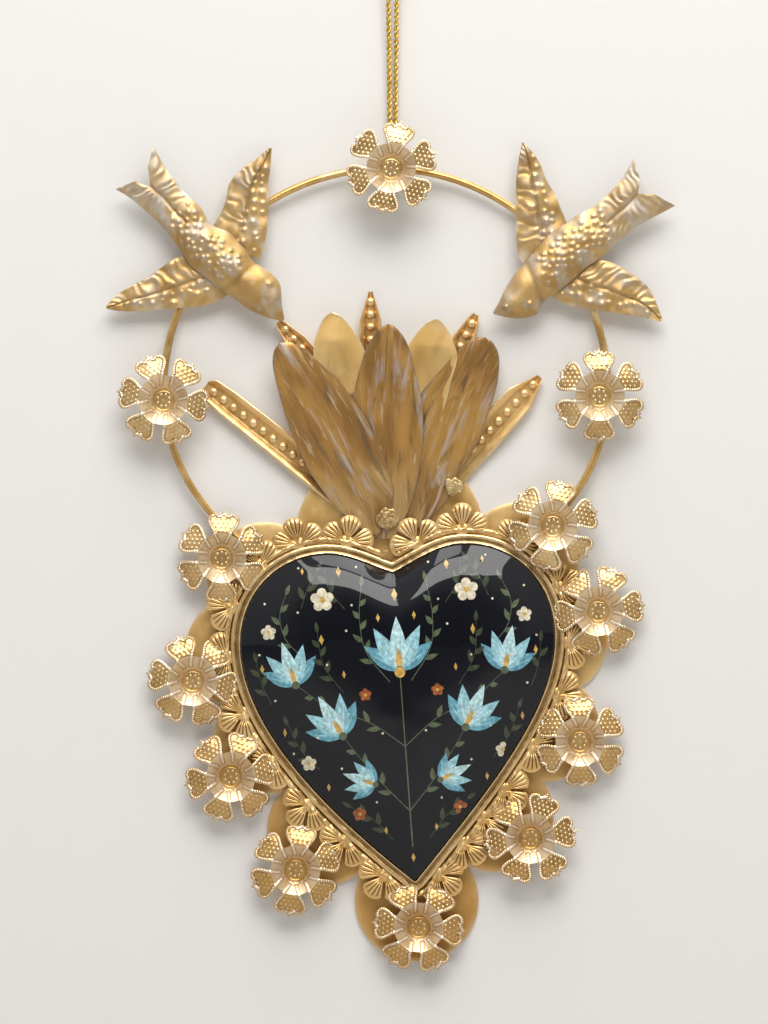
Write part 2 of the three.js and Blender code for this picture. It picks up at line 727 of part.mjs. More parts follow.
const birds = {
  left: {
    at: 140.6,
    out: -2.2,
    body: [
      [[30.7, -31], [30, -31.9]],
      [[29.5, -23.3], [21.6, -29.8]],
      [[28.8, -14.8], [22.1, -20.7], [14, -26.4]],
      [[24.5, -8.8], [16.2, -15.2], [7.6, -21.6]],
      [[17.2, -4.1], [9.3, -10.7], [1, -17.4]],
      [[11, 3.6], [2.1, -3.8], [-7.1, -11]],
      [[3.8, 10.9], [-5.2, 2.8], [-14.3, -5.3]],
      [[-4.5, 14.8], [-11.6, 8.1], [-18.6, 1.4]],
      [[-9.5, 22.8], [-15.9, 14.7], [-22.4, 6.6]],
      [[-15.5, 28.3], [-21.6, 20.7], [-27.6, 13.1]],
      [[-21, 34.5], [-27.2, 27.2], [-34.5, 19.8]],
      [[-26.2, 41.7], [-29.3, 35.5], [-30.3, 29.7], [-35.5, 28.6], [-41.9, 26.2]],
      [[-31.9, 52.1], [-34.5, 42.2], [-33.3, 32.4], [-41, 35], [-50, 31.4]],
    ],
    upper: [
      [[-6, 9.5], [19, -2.6]], [[-1.7, 16.4], [21.4, 5.5]], [[2.1, 24.1], [22.8, 16.4]],
      [[4.8, 34.7], [23.3, 26.7]], [[10.2, 41], [23.1, 34.5]], [[16.6, 45.3], [24.1, 41.7]],
      [[21.7, 49.8], [24.5, 48.3]], [[23.8, 51.2], [24.7, 50.9]],
    ],
    lower: [
      [[-7.2, 0.9], [7.8, -15.5]], [[-13.8, 0.7], [-0.9, -22.1]], [[-20.7, -1.4], [-9.5, -24.7]],
      [[-27.2, -5.5], [-19.8, -25.5]], [[-35.3, -11.2], [-31.9, -26.4]], [[-43.4, -15.2], [-43.1, -27.1]],
      [[-51, -20.7], [-50, -26.7]], [[-54.7, -24.8], [-54.3, -25.9]],
    ],
  },
  right: {
    at: 36.7,
    out: 3.9,
    body: [
      [[-39.5, -30], [-39.1, -31]],
      [[-36.7, -25.5], [-32.1, -32.6]],
      [[-33.8, -19.3], [-29.3, -26.2], [-25.3, -32.9]],
      [[-29.3, -12.1], [-23.8, -21.7], [-18.6, -31]],
      [[-23.3, -5.2], [-19, -15.2], [-14.8, -24.8]],
      [[-17.2, 2.1], [-12.6, -8.8], [-7.9, -19.8]],
      [[-11.9, 7.9], [-6.6, -3.4], [-1.4, -14.8]],
      [[-4.3, 12.8], [1, 2.4], [6.2, -7.9]],
      [[1.4, 16.9], [6.6, 6.2], [11.6, -4.3]],
      [[8.6, 20.3], [12.9, 10.3], [17.1, 0.5]],
      [[14.3, 25.5], [18.4, 15.5], [22.8, 5.5]],
      [[20, 31], [24.8, 21], [30.3, 11.4]],
      [[23.8, 36.2], [26.6, 29.3], [27.6, 24.1], [32.8, 21.7], [38.6, 16]],
      [[27.6, 43.6], [31, 33.3], [29.8, 26.6], [37.6, 26.4], [47.8, 20.9]],
    ],
    upper: [
      [[-23.3, -9.5], [0.9, 5.2]], [[-27.2, -2.6], [-2.8, 10.3]], [[-28.4, 7.8], [-6, 17.2]],
      [[-28.1, 19.8], [-9.7, 26.4]], [[-28.4, 29.3], [-13.8, 33.1]], [[-27.8, 37.9], [-16.9, 41]],
      [[-26.6, 45.9], [-21, 47.2]], [[-25.5, 51.4], [-24.7, 51.2]],
    ],
    lower: [
      [[2.6, -1.7], [-15.5, -16.4]], [[10.9, -4.5], [-9.5, -23.4]], [[16.4, -5.9], [-1.7, -26.9]],
      [[23.1, -9], [8.6, -28.6]], [[30, -13.8], [19.8, -30.5]], [[35.2, -18.6], [29.7, -32.1]],
      [[39.3, -26.9], [37.1, -33.6]], [[41.7, -33.1], [40.7, -34.5]],
    ],
  },
};
const wingSeat = wallY + wireRadius + fit;
const bodySeat = wingSeat + wingRise + sheet + fit;

function acrossRow(row, count) {
  return Array.from({ length: count + 1 }, (_, k) => {
    const place = (k / count) * (row.length - 1);
    const i = Math.min(Math.floor(place), row.length - 2);
    return [0, 1].map((axis) => (mix(row[i][axis], row[i + 1][axis], place - i) * birdLength) / 100);
  });
}

// crown(along, across) gives the stamped height, both from 0 to 1
function stamped(rows, seatLift, crown) {
  const across = 4;
  const front = rows.map((row, i) => acrossRow(row, across).map(([x, z], k) => (
    point(x, seatLift + sheet + crown(i / (rows.length - 1), k / across), z))));
  return sheetFrom(front);
}

const bodyCrown = (along, across) => {
  const chest = Math.sin(Math.PI * Math.min(1, along / 0.75)) ** 0.8;
  const height = along < 0.75 ? mix(tailRise, chestRise, chest) * Math.min(1, along * 8) : tailRise;
  return height * Math.sin(Math.PI * across);
};
const wingCrown = (along, across) => wingRise * Math.sin(Math.PI * across) * (1 - along);

// Finishes

const gold = { color: 0xc9a35a, roughness: 0.42, metalness: 0.85 };
const paleGold = { color: 0xdcc38e, roughness: 0.38, metalness: 0.85 };
const agedGold = { color: 0xa8813f, roughness: 0.5, metalness: 0.8 };
const birdGold = { color: 0xc2a566, roughness: 0.45, metalness: 0.8 };
const solder = { color: 0xa89670, roughness: 0.4, metalness: 0.9 };
const cordGold = { color: 0xcf9a2e, roughness: 0.5, metalness: 0.6 };
const print = { color: 0x10131d, roughness: 0.6, metalness: 0 };
const resin = { color: 0x1a1e2a, roughness: 0.06, metalness: 0 };

const ornament = new THREE.Group();

function add(name, geometry, finish, parent = ornament) {
  const mesh = new THREE.Mesh(geometry, new THREE.MeshStandardMaterial(finish));
  mesh.name = name;
  parent.add(mesh);
  return mesh;
}

// a blob of solder, flattened against what it joins
function blob(x, z, low, radius) {
  const half = solderHeight / 2;
  return new THREE.SphereGeometry(1, 8, 5).scale(radius, half, radius).translate(x, wallY - low - half, z);
}

// Heart group: everything in the heart's own frame

const heart = new THREE.Group();
heart.position.z = cleftZ;
heart.rotation.y = -rad(heartTilt);
ornament.add(heart);
add('back_plate', backPlate(), gold, heart);
add('heart_shell', heartShell(), gold, heart);
add('heart_print', heartPrint(), print, heart);
add('heart_resin', heartResin(), resin, heart);
add('heart_bezel', bezel(), gold, heart);
add('gallery_left', galleryStrip('left'), paleGold, heart);
add('gallery_right', galleryStrip('right'), paleGold, heart);

// Flame group: upright, from the cleft

const flame = new THREE.Group();
flame.position.z = cleftZ;
ornament.add(flame);
for (const [name, shape] of Object.entries(flamePetals)) add(name, flamePetal(shape), agedGold, flame);
for (const [name, shape] of Object.entries(rays)) add(name, ray(shape), gold, flame);
const solderPlace = { flame: [-2, 20.8], ray: [23.6, 33.2] }; // in hundredths of the flame's height
const flameSolder = blob(...solderPlace.flame.map(inFlame), seat.left + sheet + fit, solderSize.flame);
const raySolder = blob(...solderPlace.ray.map(inFlame), seat.right + sheet + 2 * fit, solderSize.ray);
const cleftSolder = blob(-cleftSolderLeft, bezelWidth + 2.4, seat.gallery + sheet + fit, solderSize.cleft);
add('solder_flame', flameSolder, solder, flame);
add('solder_ray', raySolder, solder, flame);
add('solder_cleft', cleftSolder, solder, flame);

// Hoop, flowers and birds

add('ring', tube(new HoopPath(), wireRadius, 8, hoopSteps), gold);

const flowerShape = flower();
function addFlower(name, { x, z }, lift, turn) {
  const mesh = add(name, flowerShape, paleGold);
  mesh.position.set(x, wallY - lift, z);
  mesh.rotation.y = -rad(turn);
}
for (const { name, at, out, turn, overHitch } of hoopFlowers) {
  addFlower(name, onHoop(at, out), wallY + (overHitch ? hitchRadius : wireRadius) + fit, turn);
}
plateFlowers.forEach((item, i) => {
  const place = fromHeart(onHeart(item.side, item.share, item.out));
  addFlower(`flower_plate_${i + 1}`, place, flowerSeat(item), item.turn);
});

// the top flower stands off the wire on two pads, one on each side of the hitch
for (const [side, sign] of [['left', -1], ['right', 1]]) {
  const depth = hitchRadius - wireRadius - fit;
  const pad = add(`solder_pad_${side}`, new THREE.BoxGeometry(padWidth, depth, padHeight), solder);
  pad.position.set(sign * (hitchWidth / 2 + fit + padWidth / 2), -wireRadius - fit - depth / 2, -cordDrop);
}

for (const [side, bird] of Object.entries(birds)) {
  const group = new THREE.Group();
  const { x, z } = onHoop(bird.at, bird.out);
  group.position.set(x, 0, z);
  ornament.add(group);
  add(`${side}_bird_body`, stamped(bird.body, bodySeat, bodyCrown), birdGold, group);
  add(`${side}_bird_upper_wing`, stamped(bird.upper, wingSeat, wingCrown), birdGold, group);
  add(`${side}_bird_lower_wing`, stamped(bird.lower, wingSeat, wingCrown), birdGold, group);
}

// Cord and its hitch, which the ornament swings on

const hanger = new THREE.Group();
add('hanging_cord', tube(cordRoute(), cordDiameter / 2, 8, cordSteps), cordGold, hanger);
add('cord_hitch', hitch(), cordGold, hanger).position.z = -cordDrop;

const exVoto = new THREE.Group();
exVoto.add(hanger, ornament);

export default exVoto;
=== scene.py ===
import math

import bmesh
import bpy
import numpy as np
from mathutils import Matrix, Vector, noise
from mathutils.geometry import delaunay_2d_cdt


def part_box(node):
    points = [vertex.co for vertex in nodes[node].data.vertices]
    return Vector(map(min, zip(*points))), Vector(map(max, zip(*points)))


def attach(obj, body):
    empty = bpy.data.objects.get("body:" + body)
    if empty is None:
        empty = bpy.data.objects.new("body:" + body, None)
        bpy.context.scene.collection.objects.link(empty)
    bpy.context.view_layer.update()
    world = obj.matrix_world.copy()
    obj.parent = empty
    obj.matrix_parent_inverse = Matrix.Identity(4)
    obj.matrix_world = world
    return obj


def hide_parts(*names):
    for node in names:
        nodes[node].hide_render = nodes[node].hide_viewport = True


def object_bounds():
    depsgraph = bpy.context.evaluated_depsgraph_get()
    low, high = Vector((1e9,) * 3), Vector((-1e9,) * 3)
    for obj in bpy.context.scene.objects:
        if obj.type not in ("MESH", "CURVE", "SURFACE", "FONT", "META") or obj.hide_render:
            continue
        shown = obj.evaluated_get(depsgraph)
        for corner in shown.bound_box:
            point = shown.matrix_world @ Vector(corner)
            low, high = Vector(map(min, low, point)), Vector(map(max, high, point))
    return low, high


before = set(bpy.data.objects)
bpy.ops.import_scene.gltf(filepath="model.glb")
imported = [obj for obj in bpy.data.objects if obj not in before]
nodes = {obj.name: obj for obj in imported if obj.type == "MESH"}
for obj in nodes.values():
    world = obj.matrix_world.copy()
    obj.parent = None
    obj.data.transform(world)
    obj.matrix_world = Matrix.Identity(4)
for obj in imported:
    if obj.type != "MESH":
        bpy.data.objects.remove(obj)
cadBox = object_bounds()
scene = bpy.context.scene
print("frame loaded")

mm = 0.001  # sizes below are in millimetres, x right, y into the wall, z up
tin = {"sheet": 0.4, "fit": 0.3, "plate": 0.8, "wire": 1.0, "cord": 1.4, "wallGap": 0.1}
wallY = tin["wire"] + tin["fit"] + tin["cord"] + tin["wallGap"]


def layer(n):  # height above the wall of the nth sheet over the plate
    return tin["plate"] + tin["fit"] + (n - 1) * (tin["sheet"] + tin["fit"])


seats = {"ray": layer(1), "right": layer(2), "centre": layer(3), "left": layer(4), "gallery": layer(5)}


def addObject(name, data):
    made = bpy.data.objects.new(name, data)
    scene.collection.objects.link(made)
    return made


def pieceName(node):  # flower_ring_top becomes flowerRingTop
    first, *rest = node.split("_")
    return first + "".join(word.capitalize() for word in rest)


# camera, straight on and far off, so that the frame's height is the photograph's
photo = {"lens": 300, "sensor": 36, "frameHeight": 284.4, "x": -2.4, "z": -158.3, "clip": (0.05, 60)}


def addCamera():
    data = bpy.data.cameras.new("photoCamera")
    data.lens = photo["lens"]
    data.sensor_width = photo["sensor"]
    data.clip_start, data.clip_end = photo["clip"]
    camera = addObject("photoCamera", data)
    distance = photo["frameHeight"] * photo["lens"] / photo["sensor"]
    camera.location = (photo["x"] * mm, -distance * mm, photo["z"] * mm)
    camera.rotation_euler = (math.pi / 2, 0, 0)
    scene.camera = camera


addCamera()
scene.view_settings.view_transform = "Standard"
print("camera set")


# node trees

def addNode(tree, kind, settings=None, inputs=None):
    node = tree.nodes.new(kind)
    for key, value in (settings or {}).items():
        setattr(node, key, value)
    for key, value in (inputs or {}).items():
        if isinstance(value, bpy.types.NodeSocket):
            tree.links.new(value, node.inputs[key])
        else:
            node.inputs[key].default_value = value
    return node


def mathNode(tree, operation, a, b=0.0):
    return addNode(tree, "ShaderNodeMath", {"operation": operation}, {0: a, 1: b}).outputs[0]


def newTree(name, inputs):
    tree = bpy.data.node_groups.new(name, "GeometryNodeTree")
    tree.interface.new_socket(name="Geometry", in_out="INPUT", socket_type="NodeSocketGeometry")
    for label, kind in inputs.items():
        tree.interface.new_socket(name=label, in_out="INPUT", socket_type="NodeSocket" + kind)
    tree.interface.new_socket(name="Geometry", in_out="OUTPUT", socket_type="NodeSocketGeometry")
    return tree, addNode(tree, "NodeGroupInput").outputs


def endTree(tree, geometry, material):
    real = addNode(tree, "GeometryNodeRealizeInstances", {}, {0: geometry}).outputs[0]
    painted = addNode(tree, "GeometryNodeSetMaterial", {}, {"Geometry": real, "Material": material}).outputs[0]
    addNode(tree, "NodeGroupOutput", {}, {0: painted})


def resampled(tree, curve, step):
    return addNode(tree, "GeometryNodeResampleCurve", {"mode": "LENGTH"}, {
        "Curve": curve, "Length": step}).outputs[0]


def keepValue(tree, geometry, label, value):
    return addNode(tree, "GeometryNodeStoreNamedAttribute", {"data_type": "FLOAT", "domain": "POINT"}, {
        "Geometry": geometry, "Name": label, "Value": value}).outputs[0]


def savedValue(tree, label):
    return addNode(tree, "GeometryNodeInputNamedAttribute", {"data_type": "FLOAT"}, {"Name": label}).outputs[0]


def circle(tree, sides, radius):
    return addNode(tree, "GeometryNodeCurvePrimitiveCircle", {}, {
        "Resolution": sides, "Radius": radius}).outputs[0]


def tube(tree, curve, section):
    return addNode(tree, "GeometryNodeCurveToMesh", {}, {
        "Curve": curve, "Profile Curve": section, "Fill Caps": True}).outputs[0]


def copiesOn(tree, points, shape, extra):
    return addNode(tree, "GeometryNodeInstanceOnPoints", {}, {
        "Points": points, "Instance": shape, **extra}).outputs[0]


def shapeOf(tree, source):
    return addNode(tree, "GeometryNodeObjectInfo", {}, {"Object": source}).outputs["Geometry"]


def joinedUp(tree, parts):
    together = addNode(tree, "GeometryNodeJoinGeometry")
    for part in parts:
        tree.links.new(part, together.inputs[0])
    return together.outputs[0]


def grow(source, tree, values, name):  # the tree's result on source, as a plain mesh object
    modifier = source.modifiers.new("grow", "NODES")
    modifier.node_group = tree
    for item in tree.interface.items_tree:
        if item.item_type == "SOCKET" and item.in_out == "INPUT" and item.name in values:
            modifier[item.identifier] = values[item.name]
    graph = bpy.context.evaluated_depsgraph_get()
    mesh = bpy.data.meshes.new_from_object(source.evaluated_get(graph), depsgraph=graph)
    source.modifiers.remove(modifier)
    bpy.data.objects.remove(source)
    mesh.name = name
    return addObject(name, mesh)


# materials

def shader(name, settings):  # an empty material with its Principled shader
    material = bpy.data.materials.new(name)
    material.use_nodes = True
    tree = material.node_tree
    tree.nodes.clear()
    surface = addNode(tree, "ShaderNodeBsdfPrincipled", {}, settings)
    addNode(tree, "ShaderNodeOutputMaterial", {}, {"Surface": surface.outputs[0]})
    return material, tree, surface


def blendColour(tree, factor, a, b):
    node = tree.nodes.new("ShaderNodeMix")
    node.data_type = "RGBA"
    for socket, value in ((node.inputs[0], factor), (node.inputs[6], a), (node.inputs[7], b)):
        if isinstance(value, bpy.types.NodeSocket):
            tree.links.new(value, socket)
        elif isinstance(value, tuple):
            socket.default_value = (*value, 1)
        else:
            socket.default_value = value
    return node.outputs[2]


def spread(tree, value, low, high, toLow=0.0, toHigh=1.0):
    return addNode(tree, "ShaderNodeMapRange", {"interpolation_type": "SMOOTHSTEP"}, {
        "Value": value, "From Min": low, "From Max": high, "To Min": toLow, "To Max": toHigh,
    }).outputs[0]


def noiseAt(tree, where, scale, detail=3.0, distortion=0.0):
    return addNode(tree, "ShaderNodeTexNoise", {}, {
        "Vector": where, "Scale": scale, "Detail": detail, "Distortion": distortion}).outputs[0]


def valueOn(tree, label):  # a value kept on the piece's own points
    return addNode(tree, "ShaderNodeAttribute", {"attribute_name": label}).outputs["Fac"]


def weighted(tree, parts):  # a * weight + b * weight
    (a, first), (b, second) = parts
    return mathNode(tree, "ADD", mathNode(tree, "MULTIPLY", a, first), mathNode(tree, "MULTIPLY", b, second))


def addBump(tree, surface, height, strength, distance, socket="Normal"):
    bump = addNode(tree, "ShaderNodeBump", {}, {"Height": height, "Strength": strength, "Distance": distance})
    tree.links.new(bump.outputs[0], surface.inputs[socket])


def metal(name, look):
    material, tree, surface = shader(name, {"Metallic": look["metallic"]})
    place = addNode(tree, "ShaderNodeTexCoord").outputs["Object"]
    stretched = addNode(tree, "ShaderNodeMapping", {}, {"Vector": place, "Scale": look["stretch"]}).outputs[0]
    patches = noiseAt(tree, stretched, look["patch"], 4, 0.6)
    specks = noiseAt(tree, place, look["speck"], 5)
    fine = noiseAt(tree, place, look["grain"], 3)
    height = addNode(tree, "ShaderNodeSeparateXYZ", {}, {0: place}).outputs["Z"]
    # the paler colour on raised ropes, dots, crests and rims is partly real wear, partly painted highlight
    wearAndShineHere = mathNode(tree, "MULTIPLY", valueOn(tree, "worn"), spread(tree, specks, *look["wearAndShineBand"]))
    colour = blendColour(tree, spread(tree, patches, *look["patchBand"]), look["deep"], look["body"])
    pale = spread(tree, specks, *look["paleBand"], 0, look["paleShare"])
    # painted shade: the colour turns darker and more orange towards the bottom, where less light falls
    low = spread(tree, height, *look["lowBand"], look["bottomShadeShare"], 0.0)
    colour = blendColour(tree, pale, colour, look["pale"])
    colour = blendColour(tree, low, colour, look["low"])
    colour = blendColour(tree, wearAndShineHere, colour, look["worn"])
    # painted shade: a dark colour laid into grooves, creases, folds and cracks where shade falls
    colour = blendColour(tree, valueOn(tree, "sunk"), colour, look["sunk"])
    tree.links.new(colour, surface.inputs["Base Color"])
    rough = spread(tree, specks, *look["roughBand"], *look["roughness"])
    tree.links.new(rough, surface.inputs["Roughness"])
    relief = weighted(tree, zip((specks, fine), look["bumpShares"]))
    addBump(tree, surface, relief, look["bump"], look["bumpDepth"])
    return material


# in these looks the pale wear colour is partly painted highlight, the dark recess colour is painted shade, and
# the low colour is painted shade towards the bottom
sheetLook = {
    "metallic": 0.75, "deep": (0.42, 0.25, 0.08), "body": (0.62, 0.41, 0.16), "pale": (0.76, 0.6, 0.35),
    "worn": (0.86, 0.72, 0.48), "sunk": (0.16, 0.08, 0.025), "low": (0.5, 0.28, 0.07),  # low is near the tip
    "paleShare": 0.6, "bottomShadeShare": 0.5, "roughness": (0.3, 0.46), "bump": 0.25, "bumpDepth": 0.0002,
    "patch": 60.0, "speck": 240.0, "grain": 1800.0, "stretch": (1, 1, 1), "bumpShares": (0.6, 0.4),
    "patchBand": (0.36, 0.62), "paleBand": (0.52, 0.74), "lowBand": (-0.28, -0.15), "roughBand": (0.3, 0.7),
    "wearAndShineBand": (0.3, 0.62, 0.55, 1.0),
}
plateGold = metal("plateGold", {
    **sheetLook, "deep": (0.68, 0.42, 0.14), "body": (0.9, 0.62, 0.26), "pale": (0.84, 0.66, 0.38),
    "sunk": (0.42, 0.2, 0.045), "low": (0.52, 0.27, 0.068), "bottomShadeShare": 0.85, "paleShare": 0.45, "patch": 38.0,
    "roughness": (0.36, 0.48), "bump": 0.15})
bezelGold = metal("bezelGold", {
    **sheetLook, "deep": (0.54, 0.33, 0.11), "body": (0.7, 0.475, 0.2), "worn": (0.88, 0.7, 0.42),
    "sunk": (0.2, 0.115, 0.045), "patch": 140.0, "roughness": (0.2, 0.34)})
galleryGold = metal("galleryGold", {
    **sheetLook, "deep": (0.5, 0.28, 0.08), "body": (0.72, 0.44, 0.15), "worn": (0.9, 0.66, 0.34),
    "sunk": (0.2, 0.09, 0.02), "patch": 120.0, "roughness": (0.24, 0.36), "bump": 0.12})
flowerGold = metal("flowerGold", {
    **sheetLook, "deep": (0.54, 0.34, 0.12), "body": (0.7, 0.47, 0.2), "worn": (0.94, 0.87, 0.75),
    "sunk": (0.24, 0.12, 0.04), "bottomShadeShare": 0.85, "patch": 110.0, "roughness": (0.2, 0.34), "bump": 0.12})
backPetalGold = metal("backPetalGold", {
    **sheetLook, "deep": (0.74, 0.46, 0.15), "body": (0.95, 0.64, 0.25), "pale": (0.95, 0.76, 0.45),
    "stretch": (1, 1, 0.4), "patch": 60.0, "speck": 90.0, "paleShare": 0.4, "roughness": (0.2, 0.3),
    "bump": 0.1})
rayGold = metal("rayGold", {
    **sheetLook, "deep": (0.6, 0.36, 0.115), "body": (0.77, 0.49, 0.19), "pale": (0.82, 0.63, 0.35),
    "worn": (0.86, 0.66, 0.38), "paleShare": 0.4, "roughness": (0.26, 0.38), "bump": 0.12})
birdGold = metal("birdGold", {
    **sheetLook, "deep": (0.42, 0.25, 0.08), "body": (0.55, 0.36, 0.14), "pale": (0.48, 0.41, 0.3),
    "worn": (0.5, 0.46, 0.4), "patch": 90.0, "speck": 420.0, "paleShare": 0.8, "roughness": (0.38, 0.56),
    "bump": 0.5})
wireBrass = metal("wireBrass", {
    **sheetLook, "deep": (0.5, 0.29, 0.09), "body": (0.64, 0.4, 0.14), "patch": 50.0, "roughness": (0.24, 0.34),
    "bump": 0.06})
solderGold = metal("solderGold", {
    **sheetLook, "body": (0.58, 0.44, 0.22), "patch": 400.0, "speck": 900.0, "bump": 0.8,
    "roughness": (0.25, 0.45)})


def flameMaterial(look):  # gold wash worn to grey in streaks along each petal
    material, tree, surface = shader("flameGold", {"Metallic": look["metallic"]})
    across, along = valueOn(tree, "across"), valueOn(tree, "along")
    noises = []
    for squeeze, place, scale, detail, bendy in look["noises"]:
        where = addNode(tree, "ShaderNodeCombineXYZ", {}, {
            "X": across, "Y": mathNode(tree, "MULTIPLY", along, squeeze), "Z": place}).outputs[0]
        noises.append(noiseAt(tree, where, scale, detail, bendy))
    broad, streaks, dark, scratch = noises
    base = spread(tree, along, *look["baseBand"])
    clean = mathNode(tree, "MULTIPLY", base, spread(tree, broad, *look["cleanBand"]))
    broken = spread(tree, scratch, *look["brokenBand"])
    silver = mathNode(tree, "MULTIPLY", spread(tree, streaks, *look["silverBand"]), broken)
    colour = blendColour(tree, spread(tree, broad, *look["bodyBand"]), look["deep"], look["body"])
    colour = blendColour(tree, clean, colour, look["clean"])
    colour = blendColour(tree, spread(tree, dark, *look["darkBand"]), colour, look["dark"])
    colour = blendColour(tree, silver, colour, look["silver"])
    colour = blendColour(tree, spread(tree, scratch, *look["scratchBand"]), colour, look["scratch"])
    # darker along each petal's edges
    colour = blendColour(tree, valueOn(tree, "worn"), colour, look["edge"])
    tree.links.new(colour, surface.inputs["Base Color"])
    tree.links.new(spread(tree, streaks, *look["roughBand"]), surface.inputs["Roughness"])
    addBump(tree, surface, weighted(tree, zip((streaks, scratch), look["bumpShares"])), *look["bump"])
    return material


flameGold = flameMaterial({
    "metallic": 0.65, "deep": (0.31, 0.16, 0.045), "body": (0.5, 0.275, 0.075), "clean": (0.56, 0.4, 0.19),
    "dark": (0.17, 0.11, 0.06), "silver": (0.43, 0.375, 0.34), "scratch": (0.64, 0.47, 0.28),
    "edge": (0.26, 0.19, 0.13), "bodyBand": (0.36, 0.64), "cleanBand": (0.3, 0.6),
    "baseBand": (8, 26, 0.5, 0.0), "darkBand": (0.57, 0.68, 0, 0.7), "brokenBand": (0.36, 0.58, 0.25, 1.0),
    "silverBand": (0.52, 0.66, 0, 0.85), "scratchBand": (0.62, 0.7, 0, 0.6), "roughBand": (0.4, 0.65, 0.3, 0.48),
    "bump": (0.7, 0.0009), "bumpShares": (1.0, 0.35),
    "noises": (  # squeeze along the petal, place, scale, detail, distortion
        (0.3, 0.0, 0.16, 3, 0.4), (0.17, 4.0, 0.3, 6, 1.2), (0.13, 9.0, 0.45, 5, 0.9),
        (0.12, 15.0, 1.1, 4, 0.6))})


def cordMaterial(look):
    material, tree, surface = shader("cordGold", {"Metallic": look["metallic"], "Roughness": look["roughness"]})
    lay = weighted(tree, ((valueOn(tree, "along"), look["turns"]), (valueOn(tree, "around"), look["threads"])))
    wave = mathNode(tree, "SINE", mathNode(tree, "MULTIPLY", lay, 2 * math.pi))
    place = addNode(tree, "ShaderNodeTexCoord").outputs["Object"]
    glint = noiseAt(tree, place, look["glint"], 2)
    # painted shade: the gap colour darkens the grooves between the threads
    colour = blendColour(tree, spread(tree, wave, *look["threadBand"]), look["gap"], look["thread"])
    colour = blendColour(tree, spread(tree, glint, *look["brightBand"]), colour, look["bright"])
    tree.links.new(colour, surface.inputs["Base Color"])
    addBump(tree, surface, wave, *look["bump"])
    return material


cordGold = cordMaterial({
    "metallic": 0.7, "roughness": 0.32, "turns": 900.0, "threads": 5.0, "glint": 1500.0,
    "gap": (0.4, 0.22, 0.025), "thread": (0.78, 0.5, 0.09), "bright": (0.95, 0.74, 0.3),
    "threadBand": (-1, 0.7), "brightBand": (0.52, 0.68), "bump": (0.6, 0.00008)})
print("materials made")


# shapes shared by the pieces

swell = {"waves": 5, "turn": 2.4, "first": 1.3, "rate": 0.65, "faster": 0.22, "shift": 1.9, "height": 2.6}


def lumps(x, z, size, seed=0.0):  # gentle unevenness, about -1 to 1
    total = np.zeros_like(x)
    for k in range(swell["waves"]):
        angle = swell["turn"] * k + swell["first"] + seed
        step = 2 * math.pi / size * (swell["rate"] + swell["faster"] * k)
        across = (x * math.cos(angle) + z * math.sin(angle)) * step
        total = total + np.sin(across + swell["shift"] * k + 3 * seed)
    return total / swell["height"]


def smooth(value, low, high):
    t = np.clip((value - low) / (high - low), 0, 1)
    return t * t * (3 - 2 * t)


def bell(distance, width):
    return np.exp(-((distance / width) ** 2))


def splineRows(values, at, wanted):  # smooth curve through the rows
    at, wanted = np.asarray(at, float), np.asarray(wanted, float)
    slope = np.gradient(values, at, axis=0)
    i = np.clip(np.searchsorted(at, wanted, side="right") - 1, 0, len(at) - 2)
    width = at[i + 1] - at[i]
    t = (wanted - at[i]) / width
    shape = (-1,) + (1,) * (values.ndim - 1)
    t, width = t.reshape(shape), width.reshape(shape)
    return ((2 * t ** 3 - 3 * t ** 2 + 1) * values[i] + (t ** 3 - 2 * t ** 2 + t) * width * slope[i]
            + (3 * t ** 2 - 2 * t ** 3) * values[i + 1] + (t ** 3 - t ** 2) * width * slope[i + 1])


def lengthAlong(points):
    return np.concatenate([[0], np.cumsum(np.linalg.norm(np.diff(points, axis=0), axis=1))])


def evenly(points, spacing):  # the same line with points at an even spacing
    points = np.asarray(points, float)
    run = lengthAlong(points)
    wanted = np.linspace(0, run[-1], max(2, int(round(run[-1] / spacing)) + 1))
    return np.stack([np.interp(wanted, run, points[:, k]) for k in range(points.shape[1])], axis=1)


def smoothLine(points, spacing, perPoint=12):
    points = np.asarray(points, float)
    at = lengthAlong(points)
    fine = splineRows(points, at, np.linspace(0, at[-1], perPoint * len(points)))
    return evenly(fine, spacing)


def toSegments(points, line):  # distance from each point to a line of segments, and how far along it that is
    a, b = line[:-1], line[1:]
    run = lengthAlong(line)
    best = np.full(len(points), np.inf)
    where = np.zeros(len(points))
    for start, end, before, after in zip(a, b, run[:-1], run[1:]):
        d = end - start
        t = np.clip(((points - start) @ d) / max(d @ d, 1e-12), 0, 1)
        far = np.linalg.norm(points - (start + t[:, None] * d), axis=1)
        nearer = far < best
        best = np.where(nearer, far, best)
        where = np.where(nearer, before + t * (after - before), where)
    return best, where


def inside(points, loop):
    x, z = points[:, 0], points[:, 1]
    result = np.zeros(len(points), bool)
    for (ax, az), (bx, bz) in zip(loop, np.roll(loop, -1, axis=0)):
        crosses = (az > z) != (bz > z)
        at = (bx - ax) * (z - az) / (bz - az if bz != az else 1e-12) + ax
        result ^= crosses & (x < at)
    return result


def lattice(loop, spacing, clear):  # staggered points inside a loop, clear of its edge
    low, high = loop.min(0), loop.max(0)
    rows = np.arange(low[1], high[1], spacing * math.sqrt(3) / 2)
    points = np.array([
        (x, z) for k, z in enumerate(rows)
        for x in np.arange(low[0] + (k % 2) * spacing / 2, high[0], spacing)])
    points = points[inside(points, loop)]
    closed = np.vstack([loop, loop[:1]])
    return points[toSegments(points, closed)[0] > clear]


def fillLoop(loop, inner, lines=()):  # triangles inside a loop, through the inner points and lines
    count = len(loop)
    points = [loop, inner]
    edges = [(i, (i + 1) % count) for i in range(count)]
    start = count + len(inner)
    for line in lines:
        edges += [(start + i, start + (i + 1) % len(line)) for i in range(len(line))]
        points.append(line)
        start += len(line)
    flat = [Vector((float(x), float(z))) for x, z in np.vstack(points)]
    corners, _, faces, *_ = delaunay_2d_cdt(flat, edges, [], 1, 1e-6)
    return np.array([tuple(p) for p in corners]), [tuple(f) for f in faces]


